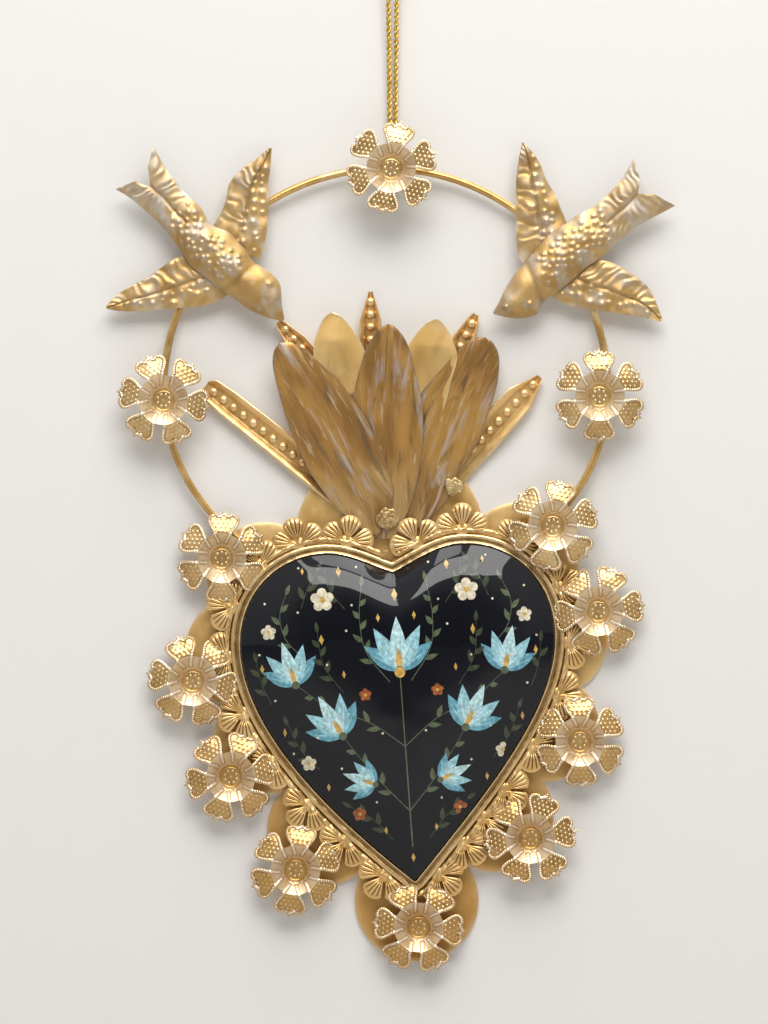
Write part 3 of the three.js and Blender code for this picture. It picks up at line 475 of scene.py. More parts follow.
def closeSheet(front, back, faces):  # front and back skins with walls between their rims
    faces = np.asarray(faces)
    corners = front[faces]
    facing = np.cross(corners[:, 1] - corners[:, 0], corners[:, 2] - corners[:, 0]).sum(0)
    if facing[1] > 0:
        faces = faces[:, ::-1]
    edges = set(map(tuple, np.stack([faces, np.roll(faces, -1, axis=1)], axis=-1).reshape(-1, 2).tolist()))
    rim = sorted((a, b) for a, b in edges if (b, a) not in edges)
    count = len(front)
    walls = [(b, a, a + count, b + count) for a, b in rim]
    return np.vstack([front, back]), faces.tolist() + (faces[:, ::-1] + count).tolist() + walls


def gridFaces(rows, columns, loopRows=False, loopColumns=False):
    faces = []
    for i in range(rows if loopRows else rows - 1):
        for k in range(columns if loopColumns else columns - 1):
            a, b = i * columns + k, i * columns + (k + 1) % columns
            c, d = ((i + 1) % rows) * columns + (k + 1) % columns, ((i + 1) % rows) * columns + k
            faces.append((a, b, c, d))
    return faces


def makePiece(name, points, faces, material, values=None, crease=40):
    mesh = bpy.data.meshes.new(name)
    mesh.from_pydata((np.asarray(points) * mm).tolist(), [], faces)
    for label, data in (values or {}).items():
        attribute = mesh.attributes.new(label, "FLOAT", "POINT")
        attribute.data.foreach_set("value", np.asarray(data, np.float32))
    if material:
        mesh.materials.append(material)
    mesh.shade_smooth()
    mesh.set_sharp_from_angle(angle=math.radians(crease))
    return addObject(name, mesh)


def settle(piece, slot, *replaced, body="ornament"):
    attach(piece, body)
    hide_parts(*replaced)


def boxMiddle(node):
    low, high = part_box(node)
    return (low + high) / 2 / mm


# a thin sheet from its front's height
def pressed(name, flat, lift, faces, material, values, thickness=tin["sheet"]):
    front = np.stack([flat[:, 0], wallY - lift, flat[:, 1]], axis=1)
    back = front.copy()
    back[:, 1] += thickness
    points, closed = closeSheet(front, back, faces)
    doubled = {label: np.concatenate([data, data]) for label, data in values.items()}
    return makePiece(name, points, closed, material, doubled)


# cord: a loop over the nail, its two strands down to the hitch on the wire
cord = {
    "drop": 63.0, "lean": 0.0315, "plies": 2, "plyRadius": 0.37, "plyOffset": 0.33, "plySides": 12, "turn": 3.4,
    "step": 0.25, "routeStep": 0.8, "hitchTurn": 3.1, "hitchWraps": 2, "hitchHalf": 0.74, "hitchPoints": 90,
    "side": [
        (0.8, -60.0), (0.8, -54), (0.83, -46), (0.9, -38), (1.0, -30), (1.1, -22), (1.2, -16), (1.6, -11.5),
        (2.4, -7.6), (3.15, -4.6), (3.35, -2.3), (2.6, -0.2), (1.4, 0.55)],
}


def curveThrough(name, points):
    data = bpy.data.curves.new(name, "CURVE")
    data.dimensions = "3D"
    spline = data.splines.new("POLY")
    spline.points.add(len(points) - 1)
    for target, (x, y, z) in zip(spline.points, points):
        target.co = (x * mm, y * mm, z * mm, 1)
    return addObject(name, data)


def vectorNode(tree, operation, inputs):
    return addNode(tree, "ShaderNodeVectorMath", {"operation": operation}, inputs).outputs[0]


def twistTree():
    tree, given = newTree("twistedPlies", {
        "Step": "Float", "Ply Radius": "Float", "Ply Offset": "Float", "Turn": "Float", "Material": "Material"})
    run = addNode(tree, "GeometryNodeSplineParameter").outputs["Length"]
    line = keepValue(tree, resampled(tree, given["Geometry"], given["Step"]), "along", run)
    normal = addNode(tree, "GeometryNodeInputNormal").outputs[0]
    tangent = addNode(tree, "GeometryNodeInputTangent").outputs[0]
    across = vectorNode(tree, "CROSS_PRODUCT", {0: tangent, 1: normal})
    factor = addNode(tree, "GeometryNodeSplineParameter").outputs["Factor"]
    ring = keepValue(tree, circle(tree, cord["plySides"], given["Ply Radius"]), "around", factor)
    plies = []
    for k in range(cord["plies"]):
        turned = mathNode(tree, "MULTIPLY", mathNode(tree, "DIVIDE", run, given["Turn"]), 2 * math.pi)
        angle = mathNode(tree, "ADD", turned, 2 * math.pi * k / cord["plies"])
        sides = []
        for operation, direction in (("COSINE", normal), ("SINE", across)):
            reach = mathNode(tree, "MULTIPLY", mathNode(tree, operation, angle), given["Ply Offset"])
            sides.append(vectorNode(tree, "SCALE", {0: direction, "Scale": reach}))
        offset = vectorNode(tree, "ADD", {0: sides[0], 1: sides[1]})
        moved = addNode(tree, "GeometryNodeSetPosition", {}, {"Geometry": line, "Offset": offset}).outputs[0]
        plies.append(tube(tree, moved, ring))
    endTree(tree, joinedUp(tree, plies), given["Material"])
    return tree


def addCord():
    up = [(-x, 0, z) for x, z in cord["side"]]
    down = [(x, 0, z) for x, z in reversed(cord["side"])]
    route = smoothLine([*up, (0, 0, tin["cord"] / 2), *down], cord["routeStep"])
    route[:, 1] = np.maximum(-route[:, 2], 0) * cord["lean"]  # straight from the nail to the back of the hitch
    tree = twistTree()
    sizes = {
        "Step": cord["step"] * mm, "Ply Radius": cord["plyRadius"] * mm, "Ply Offset": cord["plyOffset"] * mm,
        "Turn": cord["turn"] * mm, "Material": cordGold}
    loop = grow(curveThrough("cordRoute", route), tree, sizes, "hangingCord")
    turns = np.linspace(0, 2 * math.pi * cord["hitchWraps"], cord["hitchPoints"])
    radius, half = tin["wire"] + tin["fit"] + tin["cord"] / 2, cord["hitchHalf"]
    sideways = -half + 2 * half * turns / turns[-1]
    wraps = np.stack([sideways, -radius * np.sin(turns), -cord["drop"] + radius * np.cos(turns)], axis=1)
    sizes["Turn"] = cord["hitchTurn"] * mm
    hitch = grow(curveThrough("hitchRoute", wraps), tree, sizes, "cordHitch")
    for piece, node in ((loop, "hanging_cord"), (hitch, "cord_hitch")):
        piece.data.shade_smooth()
        settle(piece, "gold_cord", node, body="hanger")
    round(lengthAlong(route)[-1] * mm, 4)
    print("cord length in mm", round(lengthAlong(route)[-1], 1))


addCord()
print("cord made")


# the heart's outline, in its own frame with the cleft at the origin
heart = {
    "cleftZ": -175.2, "tilt": math.radians(4.2), "depth": 85.8, "centreDrop": 22.0, "tipStretch": 1.15,
    "cleftSlope": (6.0, 2.4), "curvePoints": 161, "step": 0.35, "besideCleft": 0.02,
    "curves": {
        1: [[(0, 0), (6, 2.4), (12, 6.6), (19, 6.6)], [(19, 6.6), (33, 6.6), (43.6, -4), (43.6, -19)],
            [(43.6, -19), (43.6, -40), (22, -62), (0, -85.8)]],
        -1: [[(0, 0), (6, 2.4), (12, 6.6), (19, 6.6)], [(19, 6.6), (33, 6.6), (43.6, -4), (43.6, -19)],
             [(43.6, -19), (43.6, -40), (24.5, -63.5), (0, -85.8)]],
    },
}


def heartSide(side):
    t = np.linspace(0, 1, heart["curvePoints"])[:, None]
    parts = []
    for corners in heart["curves"][side]:
        a, b, c, d = (np.array(p, float) for p in corners)
        parts.append(((1 - t) ** 3 * a + 3 * (1 - t) ** 2 * t * b + 3 * (1 - t) * t ** 2 * c + t ** 3 * d)[:-1])
    points = np.vstack([*parts, [(0, -heart["depth"])]]) * (side, 1)
    return evenly(points, heart["step"])


heartLines = {side: heartSide(side) for side in (-1, 1)}
heartLengths = {side: lengthAlong(line)[-1] for side, line in heartLines.items()}


def sideNormals(side):
    line = heartLines[side]
    t = np.gradient(line, axis=0)
    t /= np.linalg.norm(t, axis=1)[:, None]
    return np.stack([-t[:, 1], t[:, 0]], axis=1) * side


heartNormals = {side: sideNormals(side) for side in (-1, 1)}


def onHeart(side, share, out):  # a point beside the outline, and the outward angle there
    line, normals = heartLines[side], heartNormals[side]
    at = share * (len(line) - 1)
    p = [np.interp(at, np.arange(len(line)), line[:, k]) for k in (0, 1)]
    n = [np.interp(at, np.arange(len(line)), normals[:, k]) for k in (0, 1)]
    if share >= 1:
        return np.array([0, -heart["depth"] - out * heart["tipStretch"]]), -math.pi / 2
    return np.array([p[0] + n[0] * out, p[1] + n[1] * out]), math.atan2(n[1], n[0])


def heartRow(side, out, count):  # the outline moved outwards, from the cleft to the tip
    line = heartLines[side] + heartNormals[side] * out
    line = line[1:-1][line[1:-1, 0] * side > heart["besideCleft"]]
    slopeX, slopeZ = heart["cleftSlope"]
    top = (0, out * math.hypot(slopeX, slopeZ) / slopeX)
    tip = (0, -heart["depth"] - out * heart["tipStretch"])
    line = np.vstack([[top], line, [tip]])
    run = lengthAlong(line)
    wanted = np.linspace(0, run[-1], count)
    return np.stack([np.interp(wanted, run, line[:, k]) for k in (0, 1)], axis=1)


def heartLoop(out, count):  # clockwise from the cleft
    return np.vstack([heartRow(1, out, count)[:-1], heartRow(-1, out, count)[::-1][:-1]])


def fromHeart(flat):
    flat = np.atleast_2d(flat)
    c, s = math.cos(heart["tilt"]), math.sin(heart["tilt"])
    x, z = flat.T
    return np.stack([x * c - z * s, heart["cleftZ"] + x * s + z * c], axis=1)


# hoop of wire
hoop = {
    "radius": 61.7, "x": -1.9, "seats": {-1: (0.254, 12.0), 1: (0.268, 9.8)}, "bendStart": math.radians(20),
    "points": 240, "step": 0.8, "sides": 20, "crease": math.radians(50),
}
hoop["z"] = -cord["drop"] - math.sqrt(hoop["radius"] ** 2 - hoop["x"] ** 2)


def onHoop(degrees, out=0.0):
    a, reach = math.radians(degrees), hoop["radius"] + out
    return np.array([hoop["x"] + reach * math.cos(a), hoop["z"] + reach * math.sin(a)])


def hoopLine():
    ends = {}
    for side, (share, out) in hoop["seats"].items():
        end = fromHeart(onHeart(side, share, out)[0])[0]
        angle = math.acos(min(1, abs(end[0] - hoop["x"]) / hoop["radius"]))
        ends[side] = (angle, (hoop["z"] - end[1]) / math.sin(angle))
    angles = np.linspace(math.pi + ends[-1][0], -ends[1][0], hoop["points"])
    seatY = wallY - (tin["plate"] + tin["fit"] + tin["wire"])
    points = []
    for angle in angles:
        last, drop = ends[-1 if math.cos(angle) < 0 else 1]
        down = -math.sin(angle)
        bend = smooth(np.array(math.asin(min(1, max(0, down)))), hoop["bendStart"], last)
        points.append((hoop["x"] + hoop["radius"] * math.cos(angle), seatY * float(bend),
                       hoop["z"] - (drop if down > 0 else hoop["radius"]) * down))
    return np.array(points)


def wireTree():
    tree, given = newTree("drawnWire", {"Step": "Float", "Radius": "Float", "Material": "Material"})
    line = resampled(tree, given["Geometry"], given["Step"])
    endTree(tree, tube(tree, line, circle(tree, hoop["sides"], given["Radius"])), given["Material"])
    return tree


def addHoop():
    wire = grow(curveThrough("hoopRoute", hoopLine()), wireTree(), {
        "Step": hoop["step"] * mm, "Radius": tin["wire"] * mm, "Material": wireBrass}, "ring")
    wire.name = "hoopWire"
    wire.data.shade_smooth()
    wire.data.set_sharp_from_angle(angle=hoop["crease"])
    settle(wire, "brass_wire", "ring")


addHoop()
print("hoop made")


# back plate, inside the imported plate's outline
plate = {
    "spacing": 1.5, "edgeStep": 0.7, "inset": 1.1, "corner": 32, "edgeDrop": 0.22, "edgeWidth": 0.5,
    "wave": 0.1, "waveSize": 26, "waveFade": 6, "worn": 0.35, "wornWidth": 0.6,
}


def nodeOutline(name, corner):  # the outline of a flat node seen from the front, its round parts smoothed
    mesh = nodes[name].data
    co = np.array([v.co for v in mesh.vertices]) / mm
    keys = [tuple(np.round(p, 3)) for p in co]
    ids = {}
    same = [ids.setdefault(key, len(ids)) for key in keys]
    points = np.array(list(ids))
    facing = [tuple(same[v] for v in f.vertices) for f in mesh.polygons if f.normal.y < -0.9]
    edges = {(f[i], f[(i + 1) % len(f)]) for f in facing for i in range(len(f))}
    after = {a: b for a, b in edges if (b, a) not in edges}
    start = min(after)
    loop = [start]
    while after[loop[-1]] != start:
        loop.append(after[loop[-1]])
    flat = points[loop][:, [0, 2]]
    back, ahead = flat - np.roll(flat, 1, axis=0), np.roll(flat, -1, axis=0) - flat
    turn = np.degrees(np.arctan2(back[:, 0] * ahead[:, 1] - back[:, 1] * ahead[:, 0], (back * ahead).sum(1)))
    sharp = [i for i in range(len(flat)) if abs(turn[i]) > corner]
    flat = np.roll(flat, -sharp[0], axis=0)
    sharp = [i - sharp[0] for i in sharp] + [len(flat)]
    flat = np.vstack([flat, flat[:1]])
    return [flat[a:b + 1] for a, b in zip(sharp[:-1], sharp[1:])]


def addPlate():
    runs = nodeOutline("back_plate", plate["corner"])
    loop = np.vstack([(smoothLine if len(r) > 2 else evenly)(r, plate["edgeStep"])[:-1] for r in runs])
    closed = np.vstack([loop, loop[:1]])
    out = np.roll(loop, -1, axis=0) - np.roll(loop, 1, axis=0)
    out = np.stack([out[:, 1], -out[:, 0]], axis=1) / np.linalg.norm(out, axis=1)[:, None]
    ring = loop + out * plate["edgeWidth"]
    if not inside(ring[:1], loop)[0]:
        ring = loop - out * plate["edgeWidth"]
    ring = ring[inside(ring, loop)]
    ring = ring[toSegments(ring, closed)[0] > plate["edgeWidth"] * 0.7]
    points, faces = fillLoop(loop, np.vstack([ring, lattice(loop, plate["spacing"], plate["inset"])]))
    edge = toSegments(points, closed)[0]
    wave = lumps(points[:, 0], points[:, 1], plate["waveSize"]) - 1
    lift = tin["plate"] - plate["edgeDrop"] * bell(edge, plate["edgeWidth"])
    lift = lift + plate["wave"] * wave * smooth(edge, 0, plate["waveFade"])
    # the plate turns paler along its rolled edge
    worn = plate["worn"] * bell(edge, plate["wornWidth"])
    piece = pressed("backPlate", points, lift, faces, plateGold, {"worn": worn}, lift)
    settle(piece, "gold_sheet", "back_plate")


addPlate()
print("plate made")


# domed heart: one glossy printed face over the shell
dome = {
    "edge": 3.2, "rise": 8.4, "inset": 0.3, "print": 0.2, "resinEdge": 0.6, "resinCrown": 1.2, "power": 2.4,
    "round": 0.6, "bevel": 0.9, "spacing": 0.8, "rimPoints": 260, "ringInset": 0.35, "ringPoints": 240,
    "margin": 1.0,
}
ink = {
    "ground": (0.002, 0.0025, 0.006), "sky": (0.3, 0.56, 0.63), "pale": (0.5, 0.72, 0.74),
    "shade": (0.13, 0.34, 0.43), "cream": (0.68, 0.62, 0.46), "gold": (0.6, 0.38, 0.1),
    "sage": (0.1, 0.13, 0.07), "moss": (0.05, 0.065, 0.035), "rust": (0.34, 0.1, 0.03),
}
resin = {
    "roughness": 0.45, "coatRoughness": 0.025, "coatIor": 1.42, "grain": 900, "brush": (0.3, 0.7, 0.62, 1.08),
    "swell": 60, "bump": (0.3, 0.0018),
}


def domeScale(flat):  # 1 at the rim, 0 over the dome's centre
    rim = heartLoop(-dome["inset"], dome["rimPoints"])
    centre = np.array([0, -heart["centreDrop"]])
    rimAngle = np.unwrap(-np.arctan2(*(rim - centre).T[::-1]))
    order = np.argsort(rimAngle)
    rimAngle, reach = rimAngle[order], np.linalg.norm(rim - centre, axis=1)[order]
    offset = flat - centre
    angle = -np.arctan2(offset[:, 1], offset[:, 0])
    wrapped = (angle - rimAngle[0]) % (2 * math.pi) + rimAngle[0]
    return np.linalg.norm(offset, axis=1) / np.interp(wrapped, rimAngle, reach, period=2 * math.pi)


def domeLift(flat):
    power, rounding, bevel = dome["power"], dome["round"], dome["bevel"]
    scale = np.clip(domeScale(flat), 0, 1)
    shape = (1 - np.minimum(scale, bevel) ** power) ** rounding  # then straight down to the bezel
    slope = rounding * power * bevel ** (power - 1) * (1 - bevel ** power) ** (rounding - 1)
    shape = shape - slope * np.clip(scale - bevel, 0, None)
    under = dome["edge"] + dome["rise"] * shape + 2 * tin["fit"] + dome["print"]
    return under + dome["resinEdge"] + (dome["resinCrown"] - dome["resinEdge"]) * shape


def arcLine(x, z, radius, count=16):
    a = np.linspace(0, 2 * math.pi, count, endpoint=False)
    return np.stack([x + radius * np.cos(a), z + radius * np.sin(a)], axis=1)


def leafShape(length, half, bend=0.0, count=9):  # a pointed leaf along +x
    t = np.linspace(0, 1, count)
    wide = half * np.sin(math.pi * t ** 0.8)
    middle = bend * np.sin(math.pi * t)
    upper = np.stack([t * length, middle + wide], axis=1)
    lower = np.stack([t * length, middle - wide], axis=1)
    return np.vstack([upper, lower[::-1][1:-1]])


def placed(shape, x, z, degrees, mirror=1):
    a = math.radians(degrees)
    c, s = math.cos(a), math.sin(a)
    turned = np.stack([shape[:, 0] * c - shape[:, 1] * s + x, shape[:, 0] * s + shape[:, 1] * c + z], axis=1)
    return turned * (mirror, 1)


def stemShape(points, half):
    line = smoothLine(points, 1.6)
    t = np.gradient(line, axis=0)
    t /= np.linalg.norm(t, axis=1)[:, None]
    n = np.stack([-t[:, 1], t[:, 0]], axis=1)
    taper = half * np.linspace(1, 0.55, len(line))[:, None]
    return np.vstack([line + n * taper, (line - n * taper)[::-1]])


sprigForm = {"stem": 0.13, "first": 0.25, "run": 0.68, "leaf": 4.0, "shorter": 0.25, "half": 0.72, "lean": 38,
             "endLeaf": (3.2, 0.6)}


def sprig(points, leaves, mirror, leafInk):  # a stem with leaves up both sides in turn
    line = smoothLine(points, 0.5)
    shapes = [(stemShape(points, sprigForm["stem"]) * (mirror, 1), leafInk)]
    for k in range(leaves):
        at = int((sprigForm["first"] + sprigForm["run"] * k / leaves) * (len(line) - 1))
        d = line[min(at + 3, len(line) - 1)] - line[max(at - 3, 0)]
        angle = math.degrees(math.atan2(d[1], d[0])) + (1 if k % 2 else -1) * sprigForm["lean"]
        leaf = leafShape(sprigForm["leaf"] - sprigForm["shorter"] * k, sprigForm["half"])
        shapes.append((placed(leaf, *line[at], angle, mirror), leafInk))
    d = line[-1] - line[-4]
    angle = math.degrees(math.atan2(d[1], d[0]))
    shapes.append((placed(leafShape(*sprigForm["endLeaf"]), *line[-1], angle, mirror), leafInk))
    return shapes


# in shares of the blossom's size
blossomForm = {"petals": 5, "turn": 90.0, "reach": 0.58, "petal": 0.4, "middle": 0.24}


def blossom(x, z, size, petalInk, mirror):
    reach, shapes = size * blossomForm["reach"], []
    for k in range(blossomForm["petals"]):
        a = math.radians(blossomForm["turn"] + 360 * k / blossomForm["petals"])
        petalX, petalZ = (x + reach * math.cos(a)) * mirror, z + reach * math.sin(a)
        shapes.append((arcLine(petalX, petalZ, size * blossomForm["petal"], 12), petalInk))
    shapes.append((arcLine(x * mirror, z, size * blossomForm["middle"], 10), "gold"))
    return shapes


tulipForm = {
    "petals": (  # angle, length, colour, veins' colour
        (52, 0.8, "shade", "sky"), (-52, 0.8, "shade", "sky"), (28, 0.92, "sky", "pale"),
        (-28, 0.92, "sky", "pale"), (0, 1.0, "pale", "sky")),
    "half": 0.15, "veins": (-5, 5), "veinLength": 0.78, "veinHalf": 0.018, "core": (0.42, 0.06), "foot": 0.09,
}


def tulip(x, z, size, degrees, mirror):  # five long petals in three blues, each with two veins
    shapes = []
    for aside, length, colour, vein in tulipForm["petals"]:
        petal = leafShape(size * length, size * tulipForm["half"], 0.0, 11)
        shapes.append((placed(petal, x, z, degrees + aside, mirror), colour))
        for offset in tulipForm["veins"]:
            line = leafShape(size * length * tulipForm["veinLength"], size * tulipForm["veinHalf"], 0.0, 7)
            shapes.append((placed(line, x, z, degrees + aside + offset, mirror), vein))
    length, half = tulipForm["core"]
    shapes.append((placed(leafShape(size * length, size * half), x, z, degrees, mirror), "gold"))
    shapes.append((arcLine(x * mirror, z, size * tulipForm["foot"], 10), "sage"))
    return shapes


def diamond(x, z, size, narrow=0.45):
    return np.array([(x, z + size), (x + size * narrow, z), (x, z - size), (x - size * narrow, z)])


# a spray of tulips, leaves and small blossoms in the heart's frame, mirrored but for its stem and middle
spray = {
    "stem": ([(0, -76), (0, -60), (0, -42), (0, -26)], 0.22),
    "sprigs": [
        ([(0, -66), (7, -58), (13, -50), (17, -44)], 5), ([(0, -48), (9, -41), (20, -36), (29, -29)], 7),
        ([(3, -30), (9, -21), (10, -10), (9, -3)], 6), ([(26, -22), (31, -16), (32, -9), (30, -4)], 4)],
    "tulips": [(17, -44, 13, 62), (29, -29, 12.5, 76), (9, -58, 9.5, 22)],
    "dimSprigs": [
        ([(36, -34), (38.5, -28), (39.5, -22)], 3), ([(24, -53), (29, -47), (32, -40)], 4),
        ([(16, -32), (21, -24), (22, -15)], 5), ([(14, -9), (18, -3), (19, 2.5)], 3),
        ([(5, -74), (10, -68), (16, -64)], 4), ([(26, -8), (24, -3), (21, 2)], 3)],
    "blossoms": [
        (20, -6, 3.4, "cream"), (35.5, -14, 2.2, "cream"), (14, -66, 2.0, "rust"), (27, -51, 2.2, "cream"),
        (10, -33, 1.8, "rust")],
    "diamonds": [
        (15, 1.5, 1.5), (25, 2.2, 1.0), (38, -24, 1.3), (21, -17, 1.5), (5, -12, 1.2), (33, -42, 1.2),
        (7, -71, 1.1), (15.5, -27, 1.1), (22, -58, 1.1)],
    "specks": [
        (12, -8), (27, -9), (35, -33), (24, -44), (18, -53), (6, -44), (3.5, -21), (14, -15), (38.5, -20),
        (9, -63), (31, -48), (26, 3.2), (10, 2.4), (16, -71), (20, -24), (36, -6)],
    "speck": 0.34,
    "middle": {"tulip": (0, -27, 15, 90), "knob": (0, -27.5, 1.5), "diamonds": [(0, -6, 1.9), (0, -79, 1.3)]},
}


def printedShapes():  # later shapes lie over earlier ones
    shapes = [(stemShape(*spray["stem"]), "sage")]
    for mirror in (1, -1):
        for points, leaves in spray["sprigs"]:
            shapes += sprig(points, leaves, mirror, "sage")
        for look in spray["tulips"]:
            shapes += tulip(*look, mirror)
        for points, leaves in spray["dimSprigs"]:
            shapes += sprig(points, leaves, mirror, "moss")
        for look in spray["blossoms"]:
            shapes += blossom(*look, mirror)
        shapes += [(diamond(x * mirror, z, size), "gold") for x, z, size in spray["diamonds"]]
        shapes += [(arcLine(x * mirror, z, spray["speck"], 8), "cream") for x, z in spray["specks"]]
    shapes += tulip(*spray["middle"]["tulip"], 1)
    shapes.append((arcLine(*spray["middle"]["knob"]), "gold"))
    return shapes + [(diamond(*look), "gold") for look in spray["middle"]["diamonds"]]


def inkAndResin():
    material, tree, surface = shader("inkAndResin", {
        "Roughness": resin["roughness"], "Coat Weight": 1.0, "Coat Roughness": resin["coatRoughness"],
        "Coat IOR": resin["coatIor"], "Specular IOR Level": 0.0})
    inked = addNode(tree, "ShaderNodeAttribute", {"attribute_name": "ink"}).outputs["Color"]
    place = addNode(tree, "ShaderNodeTexCoord").outputs["Object"]
    brush = spread(tree, noiseAt(tree, place, resin["grain"], 4), *resin["brush"])
    tree.links.new(vectorNode(tree, "SCALE", {0: inked, "Scale": brush}), surface.inputs["Base Color"])
    addBump(tree, surface, noiseAt(tree, place, resin["swell"], 1), *resin["bump"], "Coat Normal")
    return material


def addHeartFace():
    rim = heartLoop(-dome["inset"], dome["rimPoints"])
    closed = np.vstack([rim, rim[:1]])
    shapes = [(shape, colour) for shape, colour in printedShapes()
              if inside(shape, rim).all() and toSegments(shape, closed)[0].min() > dome["margin"]]
    inner = lattice(rim, dome["spacing"], dome["spacing"] * 0.6)
    ring = heartLoop(-dome["inset"] - dome["ringInset"], dome["ringPoints"])
    points, faces = fillLoop(rim, np.vstack([inner, ring]), [shape for shape, _ in shapes])
    front = fromHeart(points)
    lift = domeLift(points)
    shell = (1 - np.clip(domeScale(points), 0, 1) ** dome["power"]) ** dome["round"]
    back = dome["edge"] + dome["rise"] * shell
    thickness = lift - back - tin["fit"]
    piece = pressed("heartFace", front, lift, faces, inkAndResin(), {}, thickness)
    middles = np.array([points[list(f)].mean(0) for f in faces])
    colours = np.tile(np.array(ink["ground"]), (len(faces), 1))
    for shape, name in shapes:
        near = ((middles > shape.min(0)) & (middles < shape.max(0))).all(axis=1)
        hit = np.flatnonzero(near)[inside(middles[near], shape)]
        colours[hit] = ink[name]
    mesh = piece.data
    layerData = mesh.color_attributes.new("ink", "FLOAT_COLOR", "CORNER")
    values = np.ones((len(mesh.loops), 4), np.float32)
    values[:, :3] = ink["ground"]
    for face, colour in zip(mesh.polygons[:len(faces)], colours):
        values[face.loop_start:face.loop_start + face.loop_total, :3] = colour
    layerData.data.foreach_set("color", values.ravel())
    settle(piece, "printed_face", "heart_print", "heart_resin")


addHeartFace()
nodes["heart_shell"].data.materials.clear()
nodes["heart_shell"].data.materials.append(plateGold)
print("heart face made")


# bezel: a thin bright lip and a broad smooth band, carried round the heart
bezel = {
    "section": [  # distance out from the heart's outline, height off the wall
        (0, 1.1), (0, 4.55), (0.08, 4.9), (0.25, 5.05), (0.45, 4.98), (0.65, 4.7), (0.9, 4.55), (1.2, 4.62),
        (1.5, 4.8), (1.8, 4.97), (2.1, 5.04), (2.4, 4.98), (2.65, 4.78), (2.9, 4.35), (3.1, 3.8), (3.2, 3.3),
        (3.2, 1.1)],
    # the pale lip and ridge crest are partly wear, partly painted highlight; the dark groove and outer slope are
    # painted shade
    "worn": [0, 0, 0.7, 1.0, 0.6, 0, 0, 0, 0, 0.1, 0.4, 0.55, 0.3, 0, 0, 0, 0],
    "sunk": [0, 0, 0, 0, 0, 0.6, 0.8, 0.7, 0.5, 0.25, 0, 0, 0.1, 0.6, 0.9, 0.9, 0.4],
    "steps": 640, "uneven": 0.08, "unevenOver": 3.9, "crease": 60,
    "dents": ((9, 0.0), (3.6, 2.0)), "smallDents": 0.6,
}


def facedOut(points, faces):  # a closed body's faces, turned outwards
    corners = points[faces]
    volume = (corners[:, 0] * np.cross(corners[:, 1], corners[:, 2])).sum()
    volume += (corners[:, 0] * np.cross(corners[:, 2], corners[:, 3])).sum()
    return (faces if volume > 0 else faces[:, ::-1]).tolist()


def addBezel():
    rows = []
    for out, lift in bezel["section"]:
        loop = heartLoop(out, bezel["steps"])
        broad, small = (lumps(*loop.T, size, seed) for size, seed in bezel["dents"])
        dents = broad + bezel["smallDents"] * small
        height = lift + (lift > bezel["unevenOver"]) * bezel["uneven"] * dents
        flat = fromHeart(loop)
        rows.append(np.stack([flat[:, 0], wallY - height, flat[:, 1]], axis=1))
    grid = np.stack(rows, axis=1)
    stations, across = grid.shape[:2]
    points = grid.reshape(-1, 3)
    faces = np.array(gridFaces(stations, across, True, True))
    values = {label: np.tile(bezel[label], stations) for label in ("worn", "sunk")}
    piece = makePiece("heartBezel", points, facedOut(points, faces), bezelGold, values, bezel["crease"])
    settle(piece, "gold_sheet", "heart_bezel")


addBezel()
print("bezel made")


# stamped flower: a sixth of it is pressed, and the tree repeats that round the cup
flower = {
    "petals": 6, "disc": 2.85, "foot": 1.5, "rim": 6.85, "depth": 5.0, "slope": -0.087, "join": 0.02,
    "shoulder": (6.0, 2.35), "steps": {"spoke": 0.25, "rim": 0.2, "edge": 0.155, "crown": 0.16},
    "edge": [(7.1, 2.72), (7.9, 3.3), (8.8, 3.88), (9.7, 4.32), (10.5, 4.46), (11.3, 4.25), (11.95, 3.65),
             (12.3, 2.8), (12.3, 2.05), (12.0, 1.5)],
    "crown": [(11.9, 1.28), (12.6, 1.15), (12.35, 0.6), (13.35, 0.0)],
    "rope": {"height": 0.38, "width": 0.37, "in": 0.44, "step": 0.66, "depth": 0.3, "from": (6.4, 7.1)},
    "dots": {"height": 0.2, "radius": 0.21, "step": 1.32, "start": 7.5, "clear": 1.18, "rowStep": 0.86},
    "ribs": {"line": [(7.3, 2.45), (6.4, 2.0), (5.2, 1.35), (4.2, 0.92)], "height": 0.32, "width": 0.27,
             "from": (3.8, 4.2), "to": (7.0, 7.5)},
    "grooves": {"beside": 0.5, "height": 0.12, "width": 0.15, "from": (3.6, 4.0), "to": (6.3, 6.8)},
    "trench": {"in": 0.95, "height": 0.1, "width": 0.13, "from": (6.9, 7.4)},
    "ring": {"radius": 2.7, "height": 0.14, "width": 0.11},
    "shine": {"rope": 0.95, "notch": 0.4, "dots": 0.8, "ribs": 0.9, "cup": 0.35, "from": (2.9, 3.6),
              "to": (6.7, 7.2)},
    "shade": {"petal": 0.2, "from": (7.0, 7.8), "grooves": 0.85, "trench": 0.75, "ring": 0.6, "cleared": 0.85},
    "discDots": {"count": 8, "reach": 1.7, "turn": 0.3, "height": 0.17, "radius": 0.2, "shine": 0.75},
    "bends": (-0.3, 1.0), "bend": 0.45, "sway": 2.0, "tipRise": 2.4,
    "raised": {"flower_ring_top": [1], "flower_plate_6": [2]},
    "uneven": 0.16, "unevenSize": 7, "solid": (2.1, 2.5),
}
flowerPoints = {  # where the pressed skin needs its points
    "ropeRows": (0.16, 0.34, 0.52, 0.7, 0.9), "dotRings": ((0.0, 1), (0.13, 6), (0.27, 8), (0.42, 8)),
    "discStep": 0.15, "discReach": 2.3, "discRings": (2.5, 2.65, 2.8, 2.95, 3.15), "seam": 0.05,
    "spacing": 0.26, "apart": 0.14,
}
